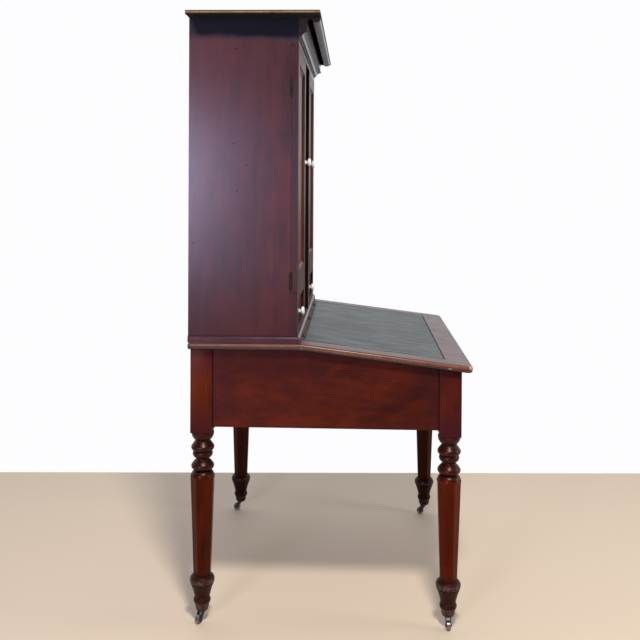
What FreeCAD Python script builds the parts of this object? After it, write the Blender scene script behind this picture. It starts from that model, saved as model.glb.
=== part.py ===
import FreeCAD, Part
import math
import os
from types import SimpleNamespace

import Sketcher
from FreeCAD import Placement, Rotation, Vector

# A clerk's standing desk in mahogany. Four turned legs on castors carry a deep framed box. The rear
# part of its top is level and bears a cupboard; the front part is a sloping, leather-lined lid over
# a well. The cupboard has a door over a small drawer on each side of an open bay.
# The frame: +X right as the clerk stands, -Y towards the clerk, +Z up, z = 0 on the floor.

SIZES = [
    # the desk top
    ("desk_width", 1100),
    ("desk_depth", 942),
    ("flat_height", 951),
    ("flat_depth", 378.5),
    ("lid_slope", 6.9),
    ("top_thick", 22),
    ("top_round_upper", 8),
    ("top_round_lower", 6),
    ("lid_corner_round", 24),
    ("flat_corner_round", 10),
    ("front_border", 86),
    ("side_border", 74),
    ("leather_thick", 1.5),
    ("leather_hinge_edge", 0.6),
    ("lid_rest_gap", 0.4),
    ("lid_joint", 0.2),
    # legs and the box under the top
    ("leg_inset_side", 57.5),
    ("leg_inset_back", 44),
    ("leg_inset_front", 72),
    ("post_width", 73),
    ("post_below_apron", 30),
    ("post_shoulder", 13),
    ("apron_bottom", 668),
    ("apron_thick", 22),
    ("apron_recess", 3),
    ("tenon_length", 24),
    ("tenon_thick", 10),
    ("tenon_shoulder", 22),
    ("well_floor_rise", 22),
    ("well_floor_thick", 12),
    ("ledger_width", 20),
    # turned neck of the leg, from the post down
    ("collar_radius", 33),
    ("collar_length", 25),
    ("neck_radius", 22.4),
    ("neck_length", 10),
    ("bead_edge_radius", 28),
    ("bead_radius", 35.7),
    ("bead_length", 23),
    ("quirk_radius", 30),
    ("half_bead_radius", 32.4),
    ("half_bead_length", 17),
    ("waist_edge_radius", 26),
    ("waist_radius", 20),
    ("waist_length", 20),
    ("ring_radius", 36),
    ("ring_length", 24),
    ("ring_bottom_radius", 28),
    ("throat_radius", 24.3),
    ("throat_length", 5),
    ("taper_shoulder", 5),
    ("taper_shoulder_length", 9),
    ("taper_top_half", 37.7),
    ("taper_round", 7),
    # turned foot of the leg, from the castor up
    ("toe_bottom_radius", 19),
    ("toe_length", 5.5),
    ("toe_radius", 20.7),
    ("ankle_length", 27.5),
    ("foot_quirk_radius", 24.7),
    ("foot_bead_radius", 28.6),
    ("foot_bead_length", 14),
    ("foot_neck_radius", 26),
    ("foot_hollow_radius", 29.5),
    ("foot_hollow_length", 45),
    ("cup_lower_radius", 36),
    ("cup_radius", 39.4),
    ("cup_length", 29),
    ("cup_rim_radius", 33),
    ("taper_bottom_half", 28.5),
    # castors
    ("castor_height", 46),
    ("castor_plate_radius", 20),
    ("castor_plate_thick", 3),
    ("castor_stem_radius", 5),
    ("castor_stem_length", 38),
    ("castor_stem_play", 0.1),
    ("castor_pin_radius", 4),
    ("castor_pin_head_radius", 6),
    ("castor_pin_head_thick", 2.4),
    ("castor_play", 0.3),
    ("castor_pin_play", 0.08),
    ("castor_disc_radius", 14.5),
    ("castor_disc_thick", 4),
    ("castor_trail", 17),
    ("castor_cheek_thick", 2.6),
    ("castor_cheek_top_half", 8),
    ("castor_boss_radius", 6),
    ("castor_wheel_radius", 15),
    ("castor_wheel_width", 12),
    ("castor_wheel_crown", 1.2),
    ("castor_wheel_gap", 0.6),
    ("castor_hub_radius", 7),
    ("castor_hub_dish", 2),
    ("castor_axle_radius", 3),
    ("castor_axle_play", 0.06),
    ("castor_axle_head", 1.4),
    ("castor_turn_front_left", 90),
    ("castor_turn_front_right", 4),
    ("castor_turn_rear_left", 60),
    ("castor_turn_rear_right", -6),
    # the cupboard's case
    ("case_inset", 16),
    ("case_depth", 364),
    ("case_height", 1074),
    ("case_wall", 22),
    ("case_floor_thick", 22),
    ("back_thick", 12),
    ("back_boards", 4),
    ("back_joint", 0.6),
    ("housing_depth", 6),
    ("bay_half", 108),
    ("inner_stile_width", 70),
    ("inner_stile_depth", 46),
    ("partition_thick", 22),
    ("door_zone_bottom", 164),
    ("door_zone_top", 986),
    ("divider_thick", 24),
    ("drawer_bed_rise", 27),
    ("runner_width", 20),
    ("ceiling_thick", 18),
    ("ceiling_rise", 3),
    ("shelf_thick", 16),
    ("side_shelf_height", 574),
    ("centre_shelf_height", 366),
    ("shelf_setback", 6),
    ("rail_thick", 22),
    ("board_thick", 12.5),
    ("board_side_overhang", 72),
    ("board_front_overhang", 73),
    ("board_round", 3.5),
    # cornice, projections from the case front and drops from the top board
    ("crown_front", 71),
    ("crown_fillet_drop", 5),
    ("crown_foot", 56),
    ("crown_drop", 15),
    ("frieze_thick", 28),
    ("frieze_drop", 43),
    ("bed_front", 31),
    ("bed_fillet_drop", 46.5),
    ("bed_foot", 10),
    ("bed_drop", 62),
    ("bed_strip", 4),
    ("bed_strip_drop", 68),
    ("base_mould_height", 23),
    ("base_mould_front", 9),
    ("base_mould_square", 14),
    ("base_mould_top", 2.5),
    # doors
    ("door_thick", 23),
    ("door_reveal", 10),
    ("door_play", 1.5),
    ("door_back_gap", 1),
    ("door_stile", 64),
    ("door_top_rail", 54),
    ("door_bottom_rail", 68),
    ("door_groove", 10),
    ("door_panel_play", 1),
    ("door_panel_thick", 8),
    ("door_panel_sink", 9),
    ("door_mould_width", 14),
    ("door_mould_height", 8.4),
    ("door_mould_lip", 2),
    ("door_knob_height", 606),
    ("door_knob_inset", 32),
    # knobs
    ("knob_base_radius", 9),
    ("knob_base_thick", 3),
    ("knob_neck_radius", 6),
    ("knob_neck_height", 8),
    ("knob_head_radius", 15.6),
    ("knob_head_height", 15.5),
    ("knob_head_half", 5.5),
    ("knob_shank_radius", 3.5),
    ("knob_shank_play", 0.15),
    # drawers
    ("drawer_recess", 10),
    ("drawer_front_thick", 18),
    ("drawer_side_thick", 10),
    ("drawer_lap", 11),
    ("drawer_back_thick", 9),
    ("drawer_length", 330),
    ("drawer_play", 1),
    ("drawer_seat_gap", 0.3),
    ("drawer_side_drop", 6),
    ("drawer_bottom_thick", 6),
    ("drawer_bottom_rise", 9),
    ("drawer_groove", 4),
    ("drawer_knob_height", 79),
    ("stop_width", 30),
    ("stop_height", 12),
    ("stop_gap", 0.4),
    # hinges
    ("leaf_gap", 0.3),
    ("leaf_thick", 2),
    ("knuckle_radius", 3.5),
    ("knuckle_proud", 0.4),
    ("knuckle_gap", 0.3),
    ("pin_radius", 1.8),
    ("pin_play", 0.05),
    ("door_hinge_length", 57),
    ("door_hinge_reach", 19),
    ("door_hinge_upper", 848),
    ("door_hinge_lower", 205),
    ("lid_hinge_length", 60),
    ("lid_hinge_reach", 17),
    ("lid_hinge_inset", 170),
    # margins for cutting tools
    ("cut_margin", 2),
]

doc = FreeCAD.newDocument("clerks_standing_desk")
sheet = doc.addObject("Spreadsheet::Sheet", "Sizes")
for row, (alias, worth) in enumerate(SIZES, start=1):
    sheet.set(f"A{row}", alias)
    sheet.set(f"B{row}", str(worth))
    sheet.setAlias(f"B{row}", alias)
doc.recompute()


class Size:
    """A length in mm or an angle in degrees, with the expression on the sheet that gives it."""

    def __init__(self, worth, text):
        self.worth = worth
        self.text = text

    def __add__(self, other):
        other = as_size(other)
        return Size(self.worth + other.worth, f"({self.text} + {other.text})")

    def __sub__(self, other):
        other = as_size(other)
        return Size(self.worth - other.worth, f"({self.text} - {other.text})")

    def __mul__(self, other):
        other = as_size(other)
        return Size(self.worth * other.worth, f"({self.text} * {other.text})")

    def __truediv__(self, other):
        other = as_size(other)
        return Size(self.worth / other.worth, f"({self.text} / {other.text})")

    def __neg__(self):
        return Size(-self.worth, f"(-1 * {self.text})")


def as_size(value):
    return value if isinstance(value, Size) else Size(float(value), str(value))


def tan(angle):
    return Size(math.tan(math.radians(angle.worth)), f"tan({angle.text} * 1 deg)")


def cos(angle):
    return Size(math.cos(math.radians(angle.worth)), f"cos({angle.text} * 1 deg)")


def sin(angle):
    return Size(math.sin(math.radians(angle.worth)), f"sin({angle.text} * 1 deg)")


def root(value):
    return Size(math.sqrt(value.worth), f"sqrt({value.text})")


s = SimpleNamespace(**{alias: Size(float(sheet.get(alias)), f"Sizes.{alias}") for alias, _ in SIZES})
ZERO = as_size(0)

# ---------------------------------------------------------------- building helpers


def bind(thing, name, size):
    """Set a property from a size, bound to the sheet where the size comes from it."""
    if "Sizes." in size.text:
        thing.setExpression(name, size.text)


def place(thing, at, turn=None, turn_size=None):
    """Put a piece at a point; turn is a Rotation, and turn_size an angle about the turn's axis."""
    x, y, z = (as_size(v) for v in at)
    thing.Placement = Placement(Vector(x.worth, y.worth, z.worth), turn or Rotation())
    for axis, size in (("x", x), ("y", y), ("z", z)):
        bind(thing, f"Placement.Base.{axis}", size)
    if turn_size is not None:
        thing.setExpression("Placement.Rotation.Angle", turn_size.text)


def ordered(span):
    low, high = (as_size(v) for v in span)
    return (low, high) if low.worth <= high.worth else (high, low)


def block(label, x, y, z):
    """A board between two values along each axis."""
    (x0, x1), (y0, y1), (z0, z1) = ordered(x), ordered(y), ordered(z)
    box = doc.addObject("Part::Box", label)
    box.Label = label
    for name, low, high in (("Length", x0, x1), ("Width", y0, y1), ("Height", z0, z1)):
        setattr(box, name, (high - low).worth)
        bind(box, name, high - low)
    place(box, (x0, y0, z0))
    return box


def rod(label, radius, length, at, turn=None):
    """A round bar along its own z axis."""
    bar = doc.addObject("Part::Cylinder", label)
    bar.Label = label
    for name, size in (("Radius", as_size(radius)), ("Height", as_size(length))):
        setattr(bar, name, size.worth)
        bind(bar, name, size)
    place(bar, at, turn)
    return bar


def group(label, pieces):
    """Separate solids that share one node."""
    made = doc.addObject("Part::Compound", label)
    made.Label = label
    made.Links = pieces
    return made


def joined(label, pieces):
    made = doc.addObject("Part::MultiFuse", label)
    made.Label = label
    made.Shapes = pieces
    return made


def cut(label, base, tools):
    """What is left of base once the tools' space is taken out of it."""
    made = doc.addObject("Part::Cut", label)
    made.Label = label
    made.Base = base
    made.Tool = tools[0] if len(tools) == 1 else group(f"{label}_tools", tools)
    return made


def shared(label, base, region):
    made = doc.addObject("Part::Common", label)
    made.Label = label
    made.Base = base
    made.Tool = region
    return made


def new_body(label):
    body = doc.addObject("PartDesign::Body", label)
    body.Label = label
    return body


def origin_plane(body, role):
    return next(f for f in body.Origin.OriginFeatures if f.Role == role)


def pin_down(sketch, geometry, end, corner):
    """Hold one end of a piece of a sketch at a point."""
    for kind, size in zip(("DistanceX", "DistanceY"), corner):
        number = sketch.addConstraint(Sketcher.Constraint(kind, -1, 1, geometry, end, size.worth))
        bind(sketch, f"Constraints[{number}]", size)


def sketch_on(body, role, name):
    sketch = body.newObject("Sketcher::SketchObject", name)
    sketch.AttachmentSupport = [(origin_plane(body, role), "")]
    sketch.MapMode = "FlatFace"
    return sketch


def draw_outline(sketch, path):
    """A closed outline. path holds corners (across, up); ARC before two corners bends through the first."""
    corners = []
    bends = []
    bend_next = False
    for item in path:
        if item is ARC:
            bend_next = True
            continue
        point = tuple(as_size(v) for v in item)
        if bend_next:
            bends.append((len(corners) - 1, point))
            bend_next = False
        else:
            corners.append(point)
    middles = dict(bends)
    ends = []
    for number, start in enumerate(corners):
        finish = corners[(number + 1) % len(corners)]
        a, b = (Vector(p[0].worth, p[1].worth, 0) for p in (start, finish))
        if number in middles:
            middle = middles[number]
            m = Vector(middle[0].worth, middle[1].worth, 0)
            line = sketch.addGeometry(Part.Arc(a, m, b))
            mark = sketch.addGeometry(Part.Point(m), True)
            pin_down(sketch, mark, 1, middle)
            sketch.addConstraint(Sketcher.Constraint("PointOnObject", mark, 1, line))
        else:
            line = sketch.addGeometry(Part.LineSegment(a, b))
        first = 1 if (sketch.getPoint(line, 1) - a).Length < (sketch.getPoint(line, 2) - a).Length else 2
        ends.append((line, first, 3 - first))
    for number, (line, first, last) in enumerate(ends):
        following = ends[(number + 1) % len(ends)]
        sketch.addConstraint(Sketcher.Constraint("Coincident", line, last, following[0], following[1]))
        pin_down(sketch, line, first, corners[number])


def draw_circle(sketch, radius):
    radius = as_size(radius)
    ring = sketch.addGeometry(Part.Circle(Vector(0, 0, 0), Vector(0, 0, 1), radius.worth))
    sketch.addConstraint(Sketcher.Constraint("Coincident", ring, 3, -1, 1))
    number = sketch.addConstraint(Sketcher.Constraint("Radius", ring, radius.worth))
    bind(sketch, f"Constraints[{number}]", radius)


ARC = "arc"


def outline(body, role, name, path):
    sketch = sketch_on(body, role, name)
    draw_outline(sketch, path)
    return sketch


def pad(body, sketch, length, both_ways=True):
    feature = body.newObject("PartDesign::Pad", f"{sketch.Name}_pad")
    feature.Profile = sketch
    feature.SideType = "Symmetric" if both_ways else "One side"
    feature.Length = as_size(length).worth
    bind(feature, "Length", as_size(length))
    sketch.Visibility = False
    doc.recompute()
    return feature


def pocket(body, sketch, length):
    """Cut a sketch's shape out evenly on both sides of its plane, and make sure that it cut."""
    before = body.Shape.Volume
    feature = body.newObject("PartDesign::Pocket", f"{sketch.Name}_pocket")
    feature.Profile = sketch
    feature.SideType = "Symmetric"
    feature.Length = as_size(length).worth
    bind(feature, "Length", as_size(length))
    doc.recompute()
    if body.Shape.Volume >= before:
        raise ValueError(f"{feature.Name} cuts nothing")
    return feature


def turned(body, sketch, axis="V_Axis"):
    feature = body.newObject("PartDesign::Revolution", f"{sketch.Name}_turned")
    feature.Profile = sketch
    feature.ReferenceAxis = (sketch, [axis])
    feature.Angle = 360
    doc.recompute()
    return feature


def groove(body, sketch, axis="V_Axis"):
    before = body.Shape.Volume
    feature = body.newObject("PartDesign::Groove", f"{sketch.Name}_groove")
    feature.Profile = sketch
    feature.ReferenceAxis = (sketch, [axis])
    feature.Angle = 360
    doc.recompute()
    if body.Shape.Volume >= before:
        raise ValueError(f"{feature.Name} cuts nothing")
    return feature


def rounded(body, radius, wanted):
    """Fillet the edges of the body's last feature that the test picks."""
    base = body.Tip
    names = [f"Edge{n}" for n, edge in enumerate(base.Shape.Edges, start=1) if wanted(edge)]
    feature = body.newObject("PartDesign::Fillet", f"{base.Name}_round")
    feature.Base = (base, names)
    feature.Radius = radius.worth
    bind(feature, "Radius", radius)
    doc.recompute()
    return feature


def along(edge, axis):
    """True where an edge runs straight along one axis."""
    box = edge.BoundBox
    lengths = {"x": box.XLength, "y": box.YLength, "z": box.ZLength}
    own = lengths.pop(axis)
    return own > 1 and max(lengths.values()) < NEAR


NEAR = 0.01

# shares of a piece's own size that shape its curves
CORNER_CLEAR = 1.6
SHOULDER_BULGE = 1.12
SHOULDER_BEND = 0.3
ARRIS_CLEAR = 1.15
ARRIS_START = 1.08
CHEEK_FLARE = 1.5
CAVETTO = 0.3
BEVEL_BULGE = 0.75
FLANGE_FILLET = 1.1
FLANGE_FILLET_RISE = 1.8
NECK_FLARE = 1.4
HEAD_RISE = 0.1
MOULD_HOLLOW = 0.45
MOULD_TOP = 0.2

# ---------------------------------------------------------------- places that many pieces share

back_y = s.desk_depth / 2
hinge_y = back_y - s.flat_depth
flat_under = s.flat_height - s.top_thick
leg_rear_y = back_y - s.leg_inset_back
leg_front_y = s.leg_inset_front - s.desk_depth / 2
leg_x = s.desk_width / 2 - s.leg_inset_side
post_half = s.post_width / 2
lid_run = s.desk_depth - s.flat_depth
nose_lead = s.top_round_upper * (sin(s.lid_slope) + cos(s.lid_slope) - 1)
lid_length = (lid_run + nose_lead) / cos(s.lid_slope)

case_width = s.desk_width - s.case_inset * 2
case_half = case_width / 2
case_inner = case_half - s.case_wall
case_front = back_y - s.case_depth
case_back_inner = back_y - s.back_thick
case_base = s.flat_height
case_top = case_base + s.case_height
floor_top = case_base + s.case_floor_thick
door_bottom = case_base + s.door_zone_bottom
door_top = case_base + s.door_zone_top
divider_bottom = door_bottom - s.divider_thick
drawer_bed = floor_top + s.drawer_bed_rise
notch_depth = s.door_thick + s.door_back_gap
hinge_plane = case_front + s.door_thick + s.door_back_gap / 2
stile_inner = s.bay_half
stile_outer = s.bay_half + s.inner_stile_width
partition_inner = stile_outer - s.partition_thick
SIDES = (("left", -1), ("right", 1))
ENDS = (("front", leg_front_y), ("rear", leg_rear_y))


def under_lid(y):
    """Height of the lid's underside at a place along the depth, less the gap that it rests on."""
    drop = (hinge_y - y) * tan(s.lid_slope)
    return s.flat_height - drop - s.top_thick / cos(s.lid_slope) - s.lid_rest_gap


# ---------------------------------------------------------------- aprons and their tenons


def tenon(label, x, y, low, high):
    return block(label, x, y, (low + s.tenon_shoulder, high - s.tenon_shoulder))


apron_outer = leg_x + post_half - s.apron_recess
apron_inner = apron_outer - s.apron_thick
tenon_line = apron_outer - s.apron_thick / 2
tenons = {(side, end): [] for side, _ in SIDES for end, _ in ENDS}


def side_apron(side, hand):
    """A deep rail whose upper edge follows the level top and then the lid."""
    rear = leg_rear_y - post_half
    front = leg_front_y + post_half
    body = new_body(f"apron_{side}_board")
    sketch = outline(body, "YZ_Plane", f"apron_{side}_outline", [
        (front, s.apron_bottom),
        (rear, s.apron_bottom),
        (rear, flat_under),
        (hinge_y, flat_under),
        (hinge_y, under_lid(hinge_y)),
        (front, under_lid(front)),
    ])
    pad(body, sketch, s.apron_thick)
    middle = tenon_line * hand
    place(body, (middle, 0, 0))
    x = (middle - s.tenon_thick / 2, middle + s.tenon_thick / 2)
    rear_tenon = tenon(f"apron_{side}_rear_tenon", x, (rear, rear + s.tenon_length),
                       s.apron_bottom, flat_under)
    front_tenon = tenon(f"apron_{side}_front_tenon", x, (front - s.tenon_length, front),
                        s.apron_bottom, under_lid(front))
    tenons[side, "rear"].append(rear_tenon)
    tenons[side, "front"].append(front_tenon)
    return joined(f"apron_{side}", [body, rear_tenon, front_tenon])


def cross_apron(end, leg_y, outward, high):
    """The rail between the two front legs, or between the two rear ones."""
    reach = leg_x - post_half
    outer = leg_y + (post_half - s.apron_recess) * outward
    inner = outer - s.apron_thick * outward
    board = block(f"apron_{end}_board", (-reach, reach), (outer, inner), (s.apron_bottom, high))
    middle = outer - s.apron_thick / 2 * outward
    y = (middle - s.tenon_thick / 2, middle + s.tenon_thick / 2)
    pieces = [board]
    for side, hand in SIDES:
        x = (reach * hand, (reach + s.tenon_length) * hand)
        piece = tenon(f"apron_{end}_{side}_tenon", x, y, s.apron_bottom, high)
        tenons[side, end].append(piece)
        pieces.append(piece)
    return joined(f"apron_{end}", pieces)


front_apron_top = under_lid(leg_front_y - post_half)
aprons = [side_apron(side, hand) for side, hand in SIDES]
aprons.append(cross_apron("front", leg_front_y, -1, front_apron_top))
aprons.append(cross_apron("rear", leg_rear_y, 1, flat_under))

# ---------------------------------------------------------------- legs

post_bottom = s.apron_bottom - s.post_below_apron
neck_z = post_bottom - s.collar_length
bead_top = neck_z - s.neck_length
quirk_z = bead_top - s.bead_length
half_bead_bottom = quirk_z - s.half_bead_length
ring_top = half_bead_bottom - s.waist_length
ring_bottom = ring_top - s.ring_length
throat_z = ring_bottom - s.throat_length
taper_top = throat_z - s.taper_shoulder_length
toe_z = s.castor_height + s.toe_length
foot_quirk_z = toe_z + s.ankle_length
foot_neck_z = foot_quirk_z + s.foot_bead_length
cup_bottom = foot_neck_z + s.foot_hollow_length
taper_bottom = cup_bottom + s.cup_length


def leg(side, hand, end, leg_y):
    """A square post, a turned neck, an eight-sided taper and a turned foot, all from one length of wood."""
    name = f"leg_{end}_{side}"
    body = new_body(f"{name}_wood")
    if end == "rear":
        top_front, top_back = flat_under, flat_under
    else:
        top_front, top_back = under_lid(leg_y - post_half), under_lid(leg_y + post_half)
    pad(body, outline(body, "YZ_Plane", f"{name}_post", [
        (-post_half, post_bottom),
        (post_half, post_bottom),
        (post_half, top_back),
        (-post_half, top_front),
    ]), s.post_width)
    shoulder_out = post_half * CORNER_CLEAR
    groove(body, outline(body, "XZ_Plane", f"{name}_shoulder", [
        (post_half - s.cut_margin, post_bottom - s.cut_margin),
        (shoulder_out, post_bottom - s.cut_margin),
        (shoulder_out, post_bottom + s.post_shoulder * 2),
        ARC, (post_half * SHOULDER_BULGE, post_bottom + s.post_shoulder / 2),
    ]))
    turned(body, outline(body, "XZ_Plane", f"{name}_neck", [
        (0, taper_top),
        (s.taper_top_half - s.taper_shoulder, taper_top),
        ARC, (s.throat_radius + s.taper_shoulder, throat_z - s.taper_shoulder_length * SHOULDER_BEND),
        (s.throat_radius, throat_z),
        (s.ring_bottom_radius, ring_bottom),
        ARC, (s.ring_radius, ring_bottom + s.ring_length / 2),
        (s.waist_edge_radius, ring_top),
        ARC, (s.waist_radius, ring_top + s.waist_length / 2),
        (s.waist_edge_radius, half_bead_bottom),
        ARC, (s.half_bead_radius, half_bead_bottom + s.half_bead_length / 2),
        (s.quirk_radius, quirk_z),
        ARC, (s.bead_radius, quirk_z + s.bead_length / 2),
        (s.bead_edge_radius, bead_top),
        ARC, (s.neck_radius, neck_z),
        (s.collar_radius, post_bottom),
        (0, post_bottom),
    ]))
    eight_sided(body, name)
    turned(body, outline(body, "XZ_Plane", f"{name}_foot", [
        (0, taper_bottom),
        (s.cup_rim_radius, taper_bottom),
        ARC, (s.cup_radius, cup_bottom + s.cup_length / 2),
        (s.cup_lower_radius, cup_bottom),
        ARC, (s.foot_hollow_radius, cup_bottom - s.foot_hollow_length / 2),
        (s.foot_neck_radius, foot_neck_z),
        ARC, (s.foot_bead_radius, foot_neck_z - s.foot_bead_length / 2),
        (s.foot_quirk_radius, foot_quirk_z),
        (s.toe_radius, toe_z),
        (s.toe_bottom_radius, s.castor_height),
        (0, s.castor_height),
    ]))
    place(body, (leg_x * hand, leg_y, 0))
    socket = rod(f"{name}_socket", s.castor_stem_radius + s.castor_stem_play, s.castor_stem_length,
                 (leg_x * hand, leg_y, s.castor_height))
    return cut(name, body, tenons[side, end] + [socket])


def eight_sided(body, name):
    """The tapered part, as a loft between two regular octagons, with its top arrises turned away."""
    sections = []
    levels = (("top", s.taper_top_half, taper_top), ("bottom", s.taper_bottom_half, taper_bottom))
    for part, half, height in levels:
        sketch = sketch_on(body, "XY_Plane", f"{name}_octagon_{part}")
        sketch.AttachmentOffset = Placement(Vector(0, 0, height.worth), Rotation())
        bind(sketch, "AttachmentOffset.Base.z", height)
        short = half * (math.sqrt(2) - 1)
        draw_outline(sketch, [
            (half, short), (short, half), (-short, half), (-half, short),
            (-half, -short), (-short, -half), (short, -half), (half, -short),
        ])
        sections.append(sketch)
    loft = body.newObject("PartDesign::AdditiveLoft", f"{name}_taper")
    loft.Profile = sections[0]
    loft.Sections = [sections[1]]
    loft.Ruled = True
    doc.recompute()
    groove(body, outline(body, "XZ_Plane", f"{name}_arris", [
        (s.taper_top_half - s.taper_shoulder, taper_top),
        (s.taper_top_half * ARRIS_CLEAR, taper_top),
        (s.taper_top_half * ARRIS_CLEAR, taper_top - s.taper_round * 2),
        (s.taper_top_half * ARRIS_START, taper_top - s.taper_round * 2),
        ARC, (s.taper_top_half, taper_top - s.taper_round / 2),
    ]))


legs = [leg(side, hand, end, leg_y) for end, leg_y in ENDS for side, hand in SIDES]

# ---------------------------------------------------------------- floor of the well

well_floor_bottom = s.apron_bottom + s.well_floor_rise
well_board = block("well_floor_board", (-apron_inner, apron_inner),
                   (leg_front_y - post_half + s.apron_recess + s.apron_thick,
                    leg_rear_y + post_half - s.apron_recess - s.apron_thick),
                   (well_floor_bottom, well_floor_bottom + s.well_floor_thick))
post_corners = []
for side, hand in SIDES:
    for end, leg_y in ENDS:
        post_corners.append(block(f"well_floor_corner_{end}_{side}",
                                  ((leg_x - post_half) * hand, (leg_x + post_half) * hand),
                                  (leg_y - post_half, leg_y + post_half),
                                  (well_floor_bottom - s.cut_margin,
                                   well_floor_bottom + s.well_floor_thick + s.cut_margin)))
well_floor = cut("well_floor", well_board, post_corners)
well_ledgers = group("well_ledgers", [
    block(f"well_ledger_{side}", (apron_inner * hand, (apron_inner - s.ledger_width) * hand),
          (leg_front_y + post_half, leg_rear_y - post_half),
          (well_floor_bottom - s.ledger_width, well_floor_bottom))
    for side, hand in SIDES
])

# ---------------------------------------------------------------- hinges


def hinge_leaf(label, length, reach, behind, at, turn):
    """A butt hinge's leaf, its pin along local z. The leaf behind the joint carries the pin."""
    body = new_body(label)
    near = s.leaf_gap / 2 * behind
    far = (s.leaf_gap / 2 + s.leaf_thick) * behind
    clear = s.knuckle_radius + s.knuckle_gap
    pad(body, outline(body, "XY_Plane", f"{label}_leaf", [
        (clear, near),
        (reach, near),
        (reach, far),
        (clear, far),
    ]), length)
    touch_far = root(s.knuckle_radius * s.knuckle_radius
                     - (s.leaf_gap / 2 + s.leaf_thick) * (s.leaf_gap / 2 + s.leaf_thick))
    touch_near = root(s.knuckle_radius * s.knuckle_radius - s.leaf_gap / 2 * s.leaf_gap / 2)
    knuckle = [
        (clear + s.leaf_thick, far),
        (touch_far, far),
        ARC, (-s.knuckle_radius, 0),
        (touch_near, near),
        (clear + s.leaf_thick, near),
    ]
    third = length / 3
    if behind > 0:
        pad(body, outline(body, "XY_Plane", f"{label}_knuckles", knuckle), length)
        room = s.knuckle_radius + s.knuckle_gap
        pocket(body, outline(body, "XY_Plane", f"{label}_room", [
            (-room, -room), (clear, -room), (clear, room), (-room, room),
        ]), third + s.knuckle_gap)
        pin = sketch_on(body, "XY_Plane", f"{label}_pin")
        draw_circle(pin, s.pin_radius)
        pad(body, pin, length)
    else:
        middle = sketch_on(body, "XY_Plane", f"{label}_knuckle")
        draw_outline(middle, knuckle)
        draw_circle(middle, s.pin_radius + s.pin_play)
        pad(body, middle, third - s.knuckle_gap)
    place(body, at, turn)
    return body


pin_x = case_half + s.knuckle_radius + s.knuckle_proud
door_hinge_heights = (("upper", case_base + s.door_hinge_upper), ("lower", case_base + s.door_hinge_lower))
TURN = {"left": Rotation(), "right": Rotation(Vector(0, 1, 0), 180)}
door_fixed_leaves = []
door_moving_leaves = {side: [] for side, _ in SIDES}
side_beds = {side: [] for side, _ in SIDES}
door_beds = {side: [] for side, _ in SIDES}
for side, hand in SIDES:
    for level, height in door_hinge_heights:
        at = (pin_x * hand, hinge_plane, height)
        door_fixed_leaves.append(hinge_leaf(
            f"door_hinge_fixed_{side}_{level}", s.door_hinge_length, s.door_hinge_reach, 1, at, TURN[side]))
        door_moving_leaves[side].append(hinge_leaf(
            f"door_hinge_moving_{side}_{level}", s.door_hinge_length, s.door_hinge_reach, -1, at, TURN[side]))
        x = (pin_x * hand, (pin_x - s.door_hinge_reach) * hand)
        z = (height - s.door_hinge_length / 2, height + s.door_hinge_length / 2)
        rear_face = hinge_plane + s.leaf_gap / 2 + s.leaf_thick
        front_face = hinge_plane - s.leaf_gap / 2 - s.leaf_thick
        side_beds[side].append(block(f"side_bed_{side}_{level}", x, (hinge_plane, rear_face), z))
        door_beds[side].append(block(f"door_bed_{side}_{level}", x, (front_face, hinge_plane), z))
door_hinge_fixed = group("door_hinge_fixed_leaves", door_fixed_leaves)

LID_HINGE_TURN = Rotation(Vector(0, 1, 0), 90)
lid_hinge_x = s.desk_width / 2 - s.lid_hinge_inset
lid_fixed_leaves = []
lid_moving_leaves = []
flat_beds = []
lid_beds = []
for name, count in (("left", -1), ("middle", 0), ("right", 1)):
    middle_x = lid_hinge_x * count
    at = (middle_x, hinge_y, s.flat_height)
    lid_fixed_leaves.append(hinge_leaf(
        f"lid_hinge_fixed_{name}", s.lid_hinge_length, s.lid_hinge_reach, 1, at, LID_HINGE_TURN))
    lid_moving_leaves.append(hinge_leaf(
        f"lid_hinge_moving_{name}", s.lid_hinge_length, s.lid_hinge_reach, -1, at, LID_HINGE_TURN))
    x = (middle_x - s.lid_hinge_length / 2, middle_x + s.lid_hinge_length / 2)
    z = (s.flat_height - s.lid_hinge_reach, s.flat_height + s.cut_margin)
    depth = s.leaf_gap / 2 + s.leaf_thick
    room = s.knuckle_radius + s.knuckle_proud
    length = s.lid_hinge_length + s.knuckle_gap * 2
    start = (middle_x - length / 2, hinge_y, s.flat_height)
    flat_beds.append(block(f"flat_bed_{name}", x, (hinge_y, hinge_y + depth), z))
    flat_beds.append(rod(f"flat_hollow_{name}", room, length, start, LID_HINGE_TURN))
    lid_beds.append(block(f"lid_bed_{name}", x, (hinge_y, hinge_y - depth), z))
    lid_beds.append(rod(f"lid_hollow_{name}", room, length, start, LID_HINGE_TURN))
lid_hinge_fixed = group("lid_hinge_fixed_leaves", lid_fixed_leaves)
lid_hinge_moving = group("lid_hinge_moving_leaves", lid_moving_leaves)

# ---------------------------------------------------------------- level part of the top


def flat_top():
    body = new_body("flat_top_board")
    half = s.desk_width / 2
    front = hinge_y + s.leaf_gap / 2
    pad(body, outline(body, "YZ_Plane", "flat_top_section", [
        (front, flat_under), (back_y, flat_under), (back_y, s.flat_height), (front, s.flat_height),
    ]), s.desk_width)
    rear = back_y.worth
    rounded(body, s.flat_corner_round, lambda e: along(e, "z") and e.BoundBox.YMin > rear - NEAR)
    front_line = front.worth + NEAR
    top = s.flat_height.worth
    bottom = flat_under.worth
    rounded(body, s.top_round_upper, lambda e: e.BoundBox.ZMin > top - NEAR and e.BoundBox.YMax > front_line)
    rounded(body, s.top_round_lower,
            lambda e: e.BoundBox.ZMax < bottom + NEAR and e.BoundBox.YMax > front_line)
    return cut("flat_top", body, flat_beds)


flat_top_board = flat_top()

# ---------------------------------------------------------------- the lid, made flat and then tilted


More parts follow.
